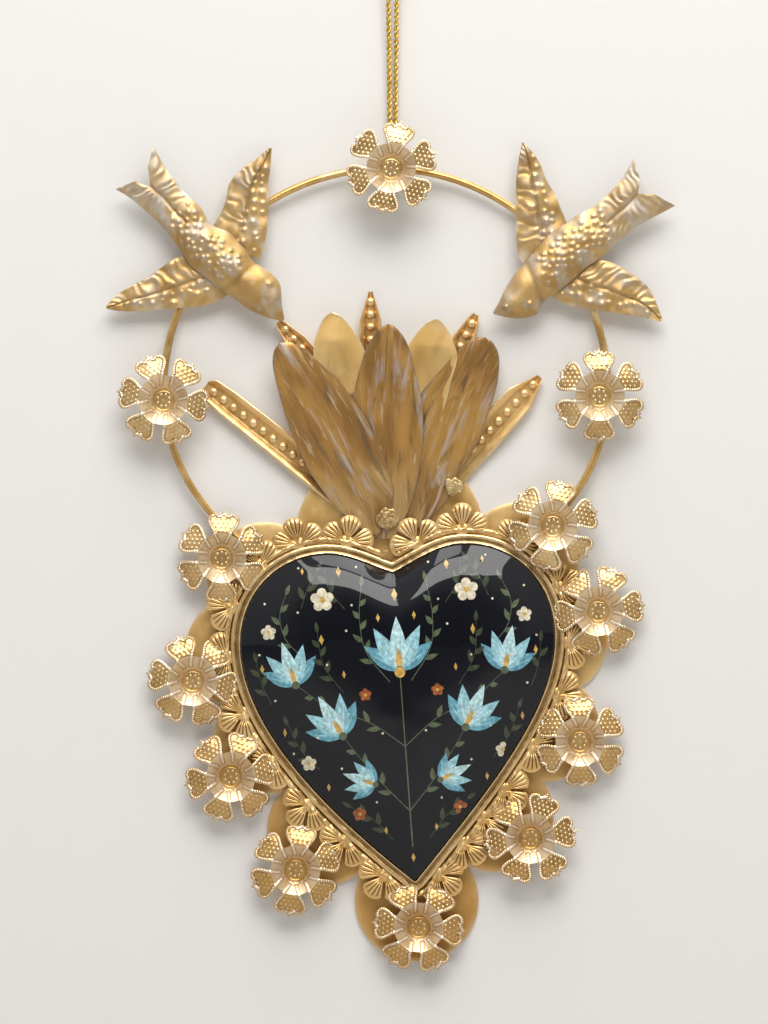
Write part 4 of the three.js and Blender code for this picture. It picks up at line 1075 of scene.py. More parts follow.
flowerTurns = {
    "flower_ring_top": 18.6, "flower_ring_left": 50, "flower_ring_right": 30, "flower_plate_1": 28,
    "flower_plate_2": 50, "flower_plate_3": 10, "flower_plate_4": 20, "flower_plate_5": 54, "flower_plate_6": 9,
    "flower_plate_7": 30, "flower_plate_8": 9, "flower_plate_9": 17,
}


def flowerOutline():  # the free edge of one petal, and the loop round its whole sixth
    rim, steps = flower["rim"], flower["steps"]
    half, shoulder = math.pi / flower["petals"], math.atan2(*flower["shoulder"][::-1])
    arc = [(rim * math.cos(a), rim * math.sin(a)) for a in np.linspace(half, shoulder, 8)]
    side = smoothLine([arc[-1], *flower["edge"]], steps["edge"])
    crown = evenly([side[-1], *flower["crown"]], steps["crown"])
    free = np.vstack([evenly(arc, steps["rim"])[:-1], side[:-1], crown])
    upper = np.vstack([evenly([(0, 0), arc[0]], steps["spoke"])[:-1], free])
    loop = np.vstack([upper, (upper[1:-1] * (1, -1))[::-1]])
    return np.vstack([free, (free[:-1] * (1, -1))[::-1]]), loop


def dotPlaces(edge, loop):
    dots = flower["dots"]
    places = []
    for row in range(6):
        for column in range(-5, 6):
            y = (column + 0.5 * (row % 2)) * dots["step"]
            places.append((dots["start"] + row * dots["step"] * dots["rowStep"], y))
    places = np.array(places)
    places = places[inside(places, loop)]
    return places[toSegments(places, edge)[0] > dots["clear"]]


def flowerInner(edge, loop, dots):  # points that follow the rope and the dots, then a loose lattice
    out = np.gradient(edge, axis=0)
    out = np.stack([out[:, 1], -out[:, 0]], axis=1) / np.linalg.norm(out, axis=1)[:, None]
    if inside(edge[20:21] + out[20:21] * 0.2, loop)[0]:
        out = -out
    where, rows = flowerPoints, []
    for depth in where["ropeRows"]:
        row = edge - out * depth
        row = row[inside(row, loop)]
        rows.append(row[toSegments(row, edge)[0] > depth * 0.93])
    for radius, count in where["dotRings"]:
        for k in range(count):
            a = 2 * math.pi * k / count
            rows.append(dots + (radius * math.cos(a), radius * math.sin(a)))
    fine = lattice(loop, where["discStep"], 0.1)
    rows.append(fine[np.hypot(*fine.T) < where["discReach"]])
    for radius in where["discRings"]:
        a = np.linspace(-0.5, 0.5, 15)
        rows.append(np.stack([radius * np.cos(a), radius * np.sin(a)], axis=1))
    near = np.vstack(rows)
    near = near[np.abs(near[:, 1]) < near[:, 0] * math.tan(math.pi / flower["petals"]) - where["seam"]]
    loose = lattice(loop, where["spacing"], where["apart"])
    gap = np.array([np.hypot(near[:, 0] - x, near[:, 1] - y).min() for x, y in loose])
    return np.vstack([near, loose[gap > where["apart"]]])


def flowerSixth():  # flat points, faces, heights and wear of one petal with its share of the cup
    edge, loop = flowerOutline()
    dotsAt = dotPlaces(edge, loop)
    points, faces = fillLoop(loop, flowerInner(edge, loop, dotsAt))
    x, y = points.T
    r = np.hypot(x, y)
    rim, disc, shine, shade = flower["rim"], flower["disc"], flower["shine"], flower["shade"]
    rope, dots, rib, groove, trench, ring = (
        flower[key] for key in ("rope", "dots", "ribs", "grooves", "trench", "ring"))
    t = np.clip((r - disc) / (rim - disc), 0, 1)
    lift = flower["foot"] + (flower["depth"] - flower["foot"]) * t
    lift = lift + flower["slope"] * np.clip(x - rim, 0, None) + tin["sheet"]
    d, s = toSegments(points, edge)
    twist = 1 - rope["depth"] + rope["depth"] * np.cos(2 * math.pi * s / rope["step"])
    border = bell(d - rope["in"], rope["width"]) * smooth(x, *rope["from"])
    nearest = np.min([np.hypot(x - a, y - b) for a, b in dotsAt], axis=0)
    bumps = bell(nearest, dots["radius"])
    line = np.array(rib["line"])
    beside = np.minimum(toSegments(points, line)[0], toSegments(points, line * (1, -1))[0])
    ribs = bell(beside, rib["width"]) * (smooth(r, *rib["from"]) * (1 - smooth(r, *rib["to"])))
    inGroove = bell(beside - groove["beside"], groove["width"])
    inGroove = inGroove * smooth(r, *groove["from"]) * (1 - smooth(r, *groove["to"]))
    inTrench = bell(d - trench["in"], trench["width"]) * smooth(x, *trench["from"])
    inRing = bell(r - ring["radius"], ring["width"])
    lift = lift + rope["height"] * border * twist + dots["height"] * bumps + rib["height"] * ribs
    lift = lift - ring["height"] * inRing - groove["height"] * inGroove - trench["height"] * inTrench
    notch = (1 - twist) / rope["depth"]
    cup = shine["cup"] * smooth(r, *shine["from"]) * (1 - smooth(r, *shine["to"]))
    worn = border * (shine["rope"] - shine["notch"] * notch) + shine["dots"] * bumps
    worn = np.clip(worn + shine["ribs"] * ribs + cup, 0, 1)
    sunk = shade["petal"] * smooth(x, *shade["from"]) + shade["grooves"] * inGroove
    sunk = (sunk + shade["trench"] * inTrench + shade["ring"] * inRing) * (1 - shade["cleared"] * worn)
    return points, faces, lift, worn, np.clip(sunk, 0, 1)


def petalTree():
    tree, given = newTree("petalsRound", {"Petals": "Int", "Join": "Float", "Material": "Material"})
    spots = addNode(tree, "GeometryNodeMeshLine", {"mode": "OFFSET"}, {
        "Count": given["Petals"], "Start Location": (0, 0, 0), "Offset": (0, 0, 0)}).outputs[0]
    index = addNode(tree, "GeometryNodeInputIndex").outputs[0]
    angle = mathNode(tree, "MULTIPLY", mathNode(tree, "DIVIDE", index, given["Petals"]), 2 * math.pi)
    turn = addNode(tree, "ShaderNodeCombineXYZ", {}, {"Y": angle}).outputs[0]
    copies = copiesOn(tree, spots, given["Geometry"], {"Rotation": turn})
    real = addNode(tree, "GeometryNodeRealizeInstances", {}, {0: copies}).outputs[0]
    whole = addNode(tree, "GeometryNodeMergeByDistance", {}, {
        "Geometry": real, "Distance": given["Join"]}).outputs[0]
    endTree(tree, whole, given["Material"])
    return tree


def readPoints(mesh):
    co = np.zeros(len(mesh.vertices) * 3)
    mesh.vertices.foreach_get("co", co)
    return co.reshape(-1, 3) / mm


def takeMesh(piece):  # a grown piece's points, faces and values, and the piece is gone
    mesh, values = piece.data, {}
    points, faces = readPoints(mesh), [tuple(f.vertices) for f in mesh.polygons]
    for label in ("worn", "sunk"):
        values[label] = np.zeros(len(mesh.vertices), np.float32)
        mesh.attributes[label].data.foreach_get("value", values[label])
    bpy.data.objects.remove(piece)
    return points, faces, values


def discDots(skin):  # small dots on the disc: how near each point is to one
    dots = flower["discDots"]
    turns = [k * 2 * math.pi / dots["count"] + dots["turn"] for k in range(dots["count"])]
    places = [(0.0, 0.0)] + [(dots["reach"] * math.cos(a), dots["reach"] * math.sin(a)) for a in turns]
    return bell(np.min([np.hypot(skin[:, 0] - x, skin[:, 2] - z) for x, z in places], axis=0), dots["radius"])


def addFlowers():
    points, faces, lift, worn, sunk = flowerSixth()
    petals = flower["petals"]
    sixth = makePiece("flowerSixth", np.stack([points[:, 0], -lift, points[:, 1]], axis=1), faces, None,
                      {"worn": worn, "sunk": sunk})
    skin, wholeFaces, values = takeMesh(grow(sixth, petalTree(), {
        "Petals": petals, "Join": flower["join"] * mm, "Material": flowerGold}, "flowerSkin"))
    small = discDots(skin)
    skin[:, 1] -= flower["discDots"]["height"] * small
    values["worn"] = np.maximum(values["worn"], flower["discDots"]["shine"] * small)
    angle = np.arctan2(skin[:, 2], skin[:, 0])
    radius = np.hypot(skin[:, 0], skin[:, 2])
    petal = (np.round(angle / (2 * math.pi / petals)) % petals).astype(int)
    beyond = np.clip(radius - flower["rim"], 0, None)
    onSeat = 1 - smooth(radius, *flower["solid"])  # solid under the disc
    for number, (node, turn) in enumerate(flowerTurns.items()):
        chance = np.random.default_rng(40 + number)
        bends = chance.uniform(*flower["bends"], petals) * flower["bend"]
        bends[flower["raised"].get(node, ())] -= flower["tipRise"]
        sways = np.radians(chance.uniform(-1, 1, petals) * flower["sway"])
        uneven = flower["uneven"] * lumps(skin[:, 0], skin[:, 2], flower["unevenSize"], number)
        rise = -skin[:, 1] + bends[petal] * (beyond / 6.5) ** 1.5
        rise = rise + uneven * smooth(radius, 5, 11)
        a = angle + math.radians(turn) + sways[petal] * smooth(radius, 6.3, 9)
        centre, backY = boxMiddle(node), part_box(node)[1].y / mm
        front = np.stack([centre.x + radius * np.cos(a), backY - rise, centre.z + radius * np.sin(a)], axis=1)
        thickness = tin["sheet"] + (rise - tin["sheet"]) * onSeat
        piece = pressed(
            pieceName(node), front[:, [0, 2]], wallY - front[:, 1], wholeFaces, flowerGold, values, thickness)
        settle(piece, "pale_gold", node)


addFlowers()
print("flowers made")


# gallery: a band round the bezel with a row of fans in threes
gallery = {
    "names": {-1: ("galleryLeft", "gallery_left"), 1: ("galleryRight", "gallery_right")},
    "inner": 3.25, "band": 1.5, "fanSpread": 68.0, "fanMiddle": 4.5, "apart": 4.4, "root": 3.9,
    "start": {-1: 1.5, 1: 0.3}, "end": 0.6, "stations": 420, "across": 9, "crease": 50,
    "roots": {-1: (14.4, 25.9, 36.5, 48.5, 61.0, 76.0, 91.0, 106.0, 120.0, 134.2),
              1: (9.8, 21.3, 35.0, 49.5, 63.5, 77.0, 92.0, 106.5, 116.0, 125.0, 136.0)},
    "fan": {"start": 0.3, "neck": 0.5, "reach": 7.0, "cut": 1.15, "half": 30.5, "ribs": 5, "grid": (51, 22),
            "ribEdge": 0.12, "dome": 0.5, "ribHeight": 0.3, "rim": 0.12, "heel": 0.35},
    "rootLump": (2.1, 0.7), "crown": 0.5, "rough": 0.26, "roughness": ((2.2, 1.0, 0.6), (5, 4.0, 0.5)),
    "cup": {"behind": 0.9, "clear": 0.5, "squeeze": 0.08},
}


def fanMesh():  # one scallop along +x, its root at the origin
    shape = gallery["fan"]
    half = math.radians(shape["half"])
    around, outwards = shape["grid"]
    uu, tt = np.meshgrid(np.linspace(-1, 1, around), np.linspace(0, 1, outwards))
    ridges = np.abs(np.cos(uu * math.pi * shape["ribs"] / 2)) ** 0.45
    reach = shape["reach"] - shape["cut"] * np.abs(uu) ** 2.4 + shape["ribEdge"] * ridges
    r = shape["start"] + (reach - shape["start"]) * tt
    a = uu * half * (1 + 0.12 * np.sin(math.pi * tt))
    x, z = shape["neck"] + r * np.cos(a), r * np.sin(a)
    body = smooth(tt, 0.14, 0.4) * (1 - smooth(tt, 0.8, 0.93))
    dome = np.sin(math.pi * np.clip(tt, 0.1, 1)) * (1 - 0.55 * uu ** 2)
    lift = tin["sheet"] + shape["dome"] * dome + shape["ribHeight"] * ridges * body
    lift = lift + shape["rim"] * smooth(tt, 0.84, 0.93) + shape["heel"] * (1 - smooth(tt, 0, 0.3))
    # the ridges and rim get a paler colour, partly wear and partly painted highlight; the valleys between ridges
    # get painted shade
    valleys = (1 - ridges) * body
    worn = np.clip(0.5 * ridges ** 3 * body + 0.45 * smooth(tt, 0.86, 0.95), 0, 1)
    front = np.stack([x.ravel(), -lift.ravel(), z.ravel()], axis=1)
    back = front.copy()
    back[:, 1] = -lift.ravel() * 0.4 + tin["sheet"] * 0.2
    points, faces = closeSheet(front, back, gridFaces(outwards, around))
    values = {label: np.concatenate([v.ravel(), v.ravel() * 0])
              for label, v in (("worn", worn), ("sunk", np.clip(1.1 * valleys, 0, 1)))}
    return makePiece("fanShape", points, faces, None, values, gallery["crease"])


def beadDome(name, radius, height, count=20, rings=7, top=0.55):  # a bead, closed underneath
    points, faces = [(0, -height, 0)], []
    for k in range(1, rings + 1):
        a = math.pi / 2 * k / rings
        for i in range(count):
            turn, reach = 2 * math.pi * i / count, radius * math.sin(a)
            points.append((reach * math.cos(turn), -height * math.cos(a), reach * math.sin(turn)))
    base = len(points)
    points += [(x, tin["sheet"] / 2, z) for x, _, z in points[-count:]]
    faces += [(0, 1 + (i + 1) % count, 1 + i) for i in range(count)]
    for k in range(rings - 1):
        a, b = 1 + k * count, 1 + (k + 1) * count
        faces += [(a + i, a + (i + 1) % count, b + (i + 1) % count, b + i) for i in range(count)]
    last = base - count
    faces += [(last + i, last + (i + 1) % count, base + (i + 1) % count, base + i) for i in range(count)]
    faces.append(tuple(reversed(range(base, base + count))))
    shine = [top] + [top * math.cos(math.pi / 2 * k / rings) for k in range(1, rings + 1) for _ in range(count)]
    piece = makePiece(name, points, faces, None, {"worn": shine + [0] * count, "sunk": [0] * len(points)}, 50)
    shape = bmesh.new()
    shape.from_mesh(piece.data)
    bmesh.ops.recalc_face_normals(shape, faces=shape.faces)
    shape.to_mesh(piece.data)
    shape.free()
    return piece


def fanTree():
    tree, given = newTree("fanRow", {"Fan": "Object", "Root": "Object", "Material": "Material"})
    around = addNode(tree, "ShaderNodeCombineXYZ", {}, {
        "Y": mathNode(tree, "MULTIPLY", savedValue(tree, "turn"), -1.0)}).outputs[0]
    row = copiesOn(tree, given["Geometry"], shapeOf(tree, given["Fan"]), {"Rotation": around})
    chosen = mathNode(tree, "GREATER_THAN", savedValue(tree, "middle"), 0.5)
    lumpRow = copiesOn(tree, given["Geometry"], shapeOf(tree, given["Root"]), {
        "Selection": chosen, "Rotation": around})
    endTree(tree, joinedUp(tree, (row, lumpRow)), given["Material"])
    return tree


# each flower's x and z, and the y of its back
flowerSpots = [(boxMiddle(node).x, boxMiddle(node).z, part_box(node)[1].y / mm) for node in flowerTurns]


def fansOf(side, fan, lump, tree):
    length, seat = heartLengths[side], seats["gallery"]
    spots, turns, middles = [], [], []
    for along in gallery["roots"][side]:
        root, angle = onHeart(side, along / length, gallery["root"])
        place = fromHeart(root)[0]
        for k in (-1, 0, 1):
            turn = angle + heart["tilt"] + math.radians(gallery["fanSpread"]) * k
            middle = place + gallery["fanMiddle"] * np.array([math.cos(turn), math.sin(turn)])
            if all(math.dist(middle, spot[:2]) > gallery["apart"] for spot in flowerSpots):
                spots.append((place[0], wallY - seat, place[1]))
                turns.append(turn)
                middles.append(k == 0)
    row = makePiece("fanSpots", spots, [], None, {"turn": turns, "middle": middles})
    points, faces, values = takeMesh(grow(row, tree, {
        "Fan": fan, "Root": lump, "Material": galleryGold}, "fans"))
    cup = gallery["cup"]
    for x, z, backY in flowerSpots:  # the fans keep clear of each flower's cup
        share = min(1, max(0, (backY - (wallY - seat - cup["behind"])) / flower["depth"]))
        reach = flower["disc"] + (flower["rim"] - flower["disc"]) * share + cup["clear"]
        offset = points[:, [0, 2]] - (x, z)
        far = np.linalg.norm(offset, axis=1)
        pushed = np.where(far < reach, reach + (far - reach) * cup["squeeze"], far)
        points[:, [0, 2]] = (x, z) + offset * (pushed / np.maximum(far, 1e-6))[:, None]
    return points, faces, values


def bandOf(side):
    outer = gallery["inner"] + gallery["band"]
    begin = outer * heart["cleftSlope"][1] / heart["cleftSlope"][0] + gallery["start"][side]
    seat, stations, rows = seats["gallery"], gallery["stations"], []
    for out in np.linspace(gallery["inner"], outer, gallery["across"]):
        line = heartRow(side, out, stations + 60)
        run = lengthAlong(line)
        wanted = np.linspace(begin, run[-1] - gallery["end"], stations)
        rows.append(np.stack([np.interp(wanted, run, line[:, k]) for k in (0, 1)], axis=1))
    v = np.tile(np.linspace(0, 1, gallery["across"]), stations)
    flat = fromHeart(np.stack(rows, axis=1).reshape(-1, 2))
    fine, broad = (share * lumps(*flat.T, size, seed) for size, seed, share in gallery["roughness"])
    rough = fine + broad
    lift = seat + tin["sheet"] + gallery["crown"] * np.sin(math.pi * np.clip(v, 0.1, 1)) ** 0.8
    lift = lift + gallery["rough"] * rough * np.sin(math.pi * v)
    front = np.stack([flat[:, 0], wallY - lift, flat[:, 1]], axis=1)
    back = front.copy()
    back[:, 1] = wallY - seat
    points, faces = closeSheet(front, back, gridFaces(stations, gallery["across"]))
    shine = np.clip(0.45 + 0.6 * rough, 0, 0.9)
    return points, faces, np.concatenate([shine, shine * 0])


def addGallery(side, fan, lump, tree):
    fanPoints, fanFaces, fanValues = fansOf(side, fan, lump, tree)
    points, faces, worn = bandOf(side)
    faces = faces + [tuple(i + len(points) for i in f) for f in fanFaces]
    values = {"worn": np.concatenate([worn, fanValues["worn"]]),
              "sunk": np.concatenate([worn * 0, fanValues["sunk"]])}
    name, node = gallery["names"][side]
    piece = makePiece(name, np.vstack([points, fanPoints]), faces, galleryGold, values, gallery["crease"])
    settle(piece, "gold_stamping", node)


fanShape = fanMesh()
rootLump = beadDome("rootLump", *gallery["rootLump"])
fanRow = fanTree()
for side in (-1, 1):
    addGallery(side, fanShape, rootLump, fanRow)
for piece in (fanShape, rootLump):
    bpy.data.objects.remove(piece)
print("gallery made")


# flame: leaning petals and beaded rays, in hundredths of the flame's height from the cleft
flame = {
    "height": 72.0, "lean": 0.06, "leanStep": 0.02, "leanStart": 20.3, "stations": 110, "across": 41,
    "tips": {  # where a petal starts to close, its curve's two powers, and how much of its taper it keeps
        "blunt": (0.88, 2.2, 0.5, 0.55), "pointed": (0.84, 1.25, 0.58, 0.0), "long": (0.75, 1.2, 0.6, 0.0)},
    "hammer": {"height": 0.22, "size": 13, "turn": 0.3, "lean": 0.1, "across": 2.2, "along": 0.5},
    "creases": {"height": 0.13, "size": 7, "across": 3.4, "along": 6},
    "flatRoot": (0.12, 0.45), "worn": 0.8, "wornWidth": 0.35,
}


def inFlame(hundredths):
    return np.asarray(hundredths, float) * flame["height"] / 100


flamePetals = {
    "flame_petal_left": {
        "seat": seats["left"], "order": 2, "tip": "blunt", "material": flameGold, "crown": 0.7, "dish": 0.0,
        "left": [(-6, 14.3), (-12.2, 16.9), (-16.7, 20.7), (-22.6, 26.2), (-31, 37.4), (-38.5, 52.6),
                 (-43.5, 67.9), (-45.8, 80.4), (-45.1, 87.6)],
        "right": [(-4.4, 16.5), (-2.9, 22.4), (0.3, 29.7), (-1, 37.4), (-4.4, 47.1), (-12.2, 62.6),
                  (-22.6, 75.6), (-35, 86.2), (-41.9, 89.6)]},
    "flame_petal_centre": {
        "seat": seats["centre"], "order": 1, "tip": "pointed", "material": flameGold, "crown": 0.6,
        "dish": 0.0,
        "left": [(-6, 13.1), (-10.3, 26.2), (-13.3, 39.7), (-15.3, 55.1), (-15.3, 66.8), (-13.9, 74.2),
                 (-12.2, 80.4), (-7.2, 92.2), (-3.3, 96)],
        "right": [(1, 13.1), (6.9, 26.2), (10.4, 40.1), (11.8, 55.4), (11.2, 66.8), (9.6, 74.2), (7.9, 81.1),
                  (3.2, 92.2), (-0.1, 95.8)]},
    "flame_petal_right": {
        "seat": seats["right"], "order": 0, "tip": "blunt", "material": flameGold, "crown": 0.5, "dish": 0.0,
        "left": [(6, 16.5), (3.6, 26.2), (4.4, 39.7), (6.8, 55.1), (11.4, 69.3), (19.2, 79), (26.8, 86.9),
                 (33.1, 91.4)],
        "right": [(10.6, 17.4), (21.1, 28.6), (24.6, 37.4), (33.1, 50.6), (37.9, 64.4), (40.7, 75),
                  (40.7, 83.3), (38.5, 90.1)]},
    "flame_back_left": {
        "seat": seats["ray"], "order": 0, "tip": "long", "material": backPetalGold, "crown": 0.0, "dish": 1.3,
        "left": [(-15.7, 43.6), (-24.2, 59), (-28.7, 72.5), (-30, 90.1), (-26.4, 100.6)],
        "right": [(-7.9, 43.6), (-7.1, 59), (-7.9, 72.5), (-13.6, 91.5), (-20.6, 100.2)]},
    "flame_back_right": {
        "seat": seats["ray"], "order": 0, "tip": "long", "material": backPetalGold, "crown": 0.0, "dish": 1.3,
        "left": [(2.1, 43.6), (2.1, 59), (2.9, 72.5), (8.8, 92.2), (15.3, 97.8)],
        "right": [(12.5, 43.6), (18.3, 59), (22.2, 72.5), (23.5, 90.1), (18.3, 97.8)]},
}


def addFlamePetal(node, look, number):
    left, right = inFlame(look["left"]), inFlame(look["right"])
    middle = (left + right) / 2
    at = lengthAlong(middle)
    wanted = np.linspace(0, at[-1], flame["stations"])
    left, right = splineRows(left, at, wanted), splineRows(right, at, wanted)
    middle, half = (left + right) / 2, (right - left) / 2
    begin, bulge, point, taper = flame["tips"][look["tip"]]
    start = int(len(wanted) * begin)
    t = np.linspace(0, 1, len(wanted) - start)[:, None]
    step = (middle[-1] - middle[start]) / (len(wanted) - 1 - start)
    narrow = half[start] + (half[start + 2] - half[start]) / 2 * np.arange(len(t))[:, None] * taper
    half[start:] = narrow * np.clip(1 - t ** bulge, 0.0004, 1) ** point
    middle[start:] = middle[start] + step * np.arange(len(t))[:, None]
    left, right = middle - half, middle + half
    across = np.linspace(0, 1, flame["across"])
    flat = (left[:, None] + (right - left)[:, None] * across[None, :, None]).reshape(-1, 2)
    u = np.repeat(np.linspace(0, 1, len(wanted)), len(across))
    v = np.tile(across, len(wanted))
    lean = flame["lean"] + flame["leanStep"] * look["order"]
    rise = lean * np.clip(flat[:, 1] - flame["leanStart"], 0, None)
    free = smooth(u, *flame["flatRoot"])
    profile = np.sin(math.pi * v)
    wave = flame["hammer"]
    slant = flat[:, 0] * math.cos(wave["turn"]) + flat[:, 1] * wave["lean"]
    dents = lumps(slant * wave["across"], flat[:, 1] * wave["along"], wave["size"], number)
    hammer = wave["height"] * dents * free * profile ** 0.5
    reach = np.linalg.norm(right - left, axis=1).repeat(len(across))
    aside = (v - 0.5) * reach + 30 * number
    if look["material"] is flameGold:
        wave = flame["creases"]
        dents = lumps(aside * wave["across"], u * wave["along"], wave["size"], number + 5)
        hammer = hammer + wave["height"] * dents * free * profile ** 0.5
    dished = look["dish"] * (1 - profile ** 0.9 * (1 - smooth(u, 0.8, 1.0)))
    lift = look["seat"] + tin["sheet"] + rise + free * (look["crown"] * profile ** 1.2 + dished) + hammer
    edge = np.minimum(np.minimum(v, 1 - v) * reach, (1 - u) * at[-1])
    # a band along the edges: darker on the flame petals, paler on the back petals
    worn = flame["worn"] * bell(edge, flame["wornWidth"])
    flat, faces = flat + (0, heart["cleftZ"]), gridFaces(len(wanted), len(across))
    piece = pressed(pieceName(node), flat, lift, faces, look["material"], {
        "worn": worn, "across": aside, "along": u * at[-1]})
    settle(piece, "aged_gold", node)


for number, (node, look) in enumerate(flamePetals.items()):
    addFlamePetal(node, look, number)
print("flame petals made")


# rays: each runs down from its tip at its angle, a folded channel with a row of beads and then flat
rays = {
    "ray_low_left": {
        "tip": (-72.2, 72.2), "angle": -38.3, "length": 73.6, "width": (8.9, 10.4, 11.5), "channel": 55.6,
        "beads": 10},
    "ray_high_left": {
        "tip": (-44.2, 96.8), "angle": -47.8, "length": 37.5, "width": (4.4, 7.6, 7.6), "channel": 27.8,
        "beads": 3},
    "ray_top": {
        "tip": (-8.5, 108.5), "angle": -90, "length": 52.8, "width": (2.9, 8.3, 9.7), "channel": 31.9,
        "beads": 4},
    "ray_high_right": {
        "tip": (32.2, 99.7), "angle": -115.8, "length": 45.8, "width": (4.6, 8.9, 9.7), "channel": 25,
        "beads": 3},
    "ray_low_right": {
        "tip": (56.9, 75.6), "angle": -133, "length": 56.9, "width": (4.2, 11.1, 12.5), "channel": 27.8,
        "beads": 8},
}
rayForm = {
    "flange": 1.2, "tipLength": 1.6, "tipShare": 0.55, "shoulder": 8.0, "fade": 8.0, "step": 0.6,
    "section": [(-1, 0.86), (-0.93, 1.0), (-0.86, 0.97), (-0.6, 0.42), (-0.5, 0.12), (-0.44, 0.0), (-0.3, 0.0),
                (-0.15, 0.0)],
    "uneven": 0.05, "unevenSize": 6, "worn": 0.6, "wearAndShineFrom": (0.8, 0.9), "sunk": 0.35, "fold": (0.4, 0.55),
    "beadRadius": 1.3, "beadHeight": 0.95, "beadStep": 3.5, "beadSizes": (0.94, 1.05),
    "crease": math.radians(50),
}


def beadTree():
    tree, given = newTree("beadRow", {
        "Bead": "Object", "Count": "Int", "Start": "Vector", "Step": "Vector", "Material": "Material"})
    line = addNode(tree, "GeometryNodeMeshLine", {"mode": "OFFSET"}, {
        "Count": given["Count"], "Start Location": given["Start"], "Offset": given["Step"]}).outputs[0]
    low, high = rayForm["beadSizes"]
    size = addNode(tree, "FunctionNodeRandomValue", {"data_type": "FLOAT"}, {
        2: low, 3: high, "Seed": 7}).outputs[1]
    row = copiesOn(tree, line, shapeOf(tree, given["Bead"]), {"Scale": size})
    endTree(tree, joinedUp(tree, (row, given["Geometry"])), given["Material"])
    return tree


def addRay(node, look, bead, tree):
    direction = math.radians(look["angle"])
    along = np.array([math.cos(direction), math.sin(direction)])
    side = np.array([-along[1], along[0]])
    widths = inFlame(look["width"])
    fold, end = float(inFlame(look["channel"])), float(inFlame(look["length"]))
    stations = [0, rayForm["tipLength"], rayForm["shoulder"], fold, fold + rayForm["fade"], end]
    wide = [widths[0] * rayForm["tipShare"], widths[0], widths[1], widths[2], widths[2], widths[2]]
    s = np.unique(np.concatenate([np.linspace(0, end, int(end / rayForm["step"])), stations]))
    half = np.interp(s, stations, wide) / 2
    folded = np.interp(s, stations, [0.5, 1, 1, 1, 0, 0])
    section = rayForm["section"] + [(0, 0)] + [(-a, h) for a, h in reversed(rayForm["section"])]
    seat = seats["ray"] + tin["sheet"]
    tip = inFlame(look["tip"]) + (0, heart["cleftZ"])
    flat, lift, worn, sunk = [], [], [], []
    for distance, reach, share in zip(s, half, folded):
        for a, h in section:
            inFold = rayForm["fold"][0] < abs(a) < rayForm["fold"][1]
            flat.append(tip + along * distance + side * a * reach)
            lift.append(seat + rayForm["flange"] * h * share)
            # the flanges' outer edges get a paler colour, partly wear and partly painted highlight; the folds
            # get painted shade
            worn.append(rayForm["worn"] * smooth(np.array(abs(a)), *rayForm["wearAndShineFrom"]))
            sunk.append(rayForm["sunk"] if inFold else 0)
    flat, lift = np.array(flat), np.array(lift)
    lift = lift + rayForm["uneven"] * lumps(flat[:, 0], flat[:, 1], rayForm["unevenSize"])
    name = pieceName(node)
    channel = pressed(name + "Channel", flat, lift, gridFaces(len(s), len(section)), rayGold,
                      {"worn": np.array(worn), "sunk": np.array(sunk)})
    first = tip + along * (rayForm["tipLength"] + rayForm["beadRadius"])
    row = grow(channel, tree, {
        "Bead": bead, "Count": look["beads"],
        "Start": [first[0] * mm, (wallY - seats["ray"] - tin["sheet"]) * mm, first[1] * mm],
        "Step": [along[0] * rayForm["beadStep"] * mm, 0.0, along[1] * rayForm["beadStep"] * mm],
        "Material": rayGold}, name)
    row.data.set_sharp_from_angle(angle=rayForm["crease"])
    settle(row, "ray_gold", node)


bead = beadDome("beadShape", rayForm["beadRadius"], rayForm["beadHeight"])
beadRow = beadTree()
for node, look in rays.items():
    addRay(node, look, bead, beadRow)
bpy.data.objects.remove(bead)
print("rays made")


# birds: a stamped body with its tail over two wings, in hundredths of the bird's length from its middle
birdForm = {
    "length": 58.0, "wingSeat": wallY + tin["wire"] + tin["fit"], "along": 0.3, "across": 75,
    "chest": 3.2, "tail": 0.8, "wing": 0.6, "eye": 0.85, "eyeRadius": 0.7,
    "edge": 0.35, "edgeWidth": 0.03, "loose": 0.28, "dotSizes": (0.75, 1.2),
    "bodyDots": {"height": 0.44, "step": 2.0, "radius": 0.62},
    "wingDots": {"height": 0.48, "step": 2.6, "radius": 0.72},
    "bodyRibs": {"height": 0.28, "count": 26, "slant": 1.2, "waver": 0.3},
    "wingRibs": {"height": 0.32, "count": 12, "slant": 1.8, "waver": 0.34},
    "bodyCrease": (0.3, 0.045), "neckCrease": (0.2, 0.016), "wingCrease": (0.24, 0.05),
    "uneven": 0.22, "bodySeed": 11, "wingSeed": 20,
}
birdForm["bodySeat"] = birdForm["wingSeat"] + birdForm["wing"] + tin["sheet"] + tin["fit"]
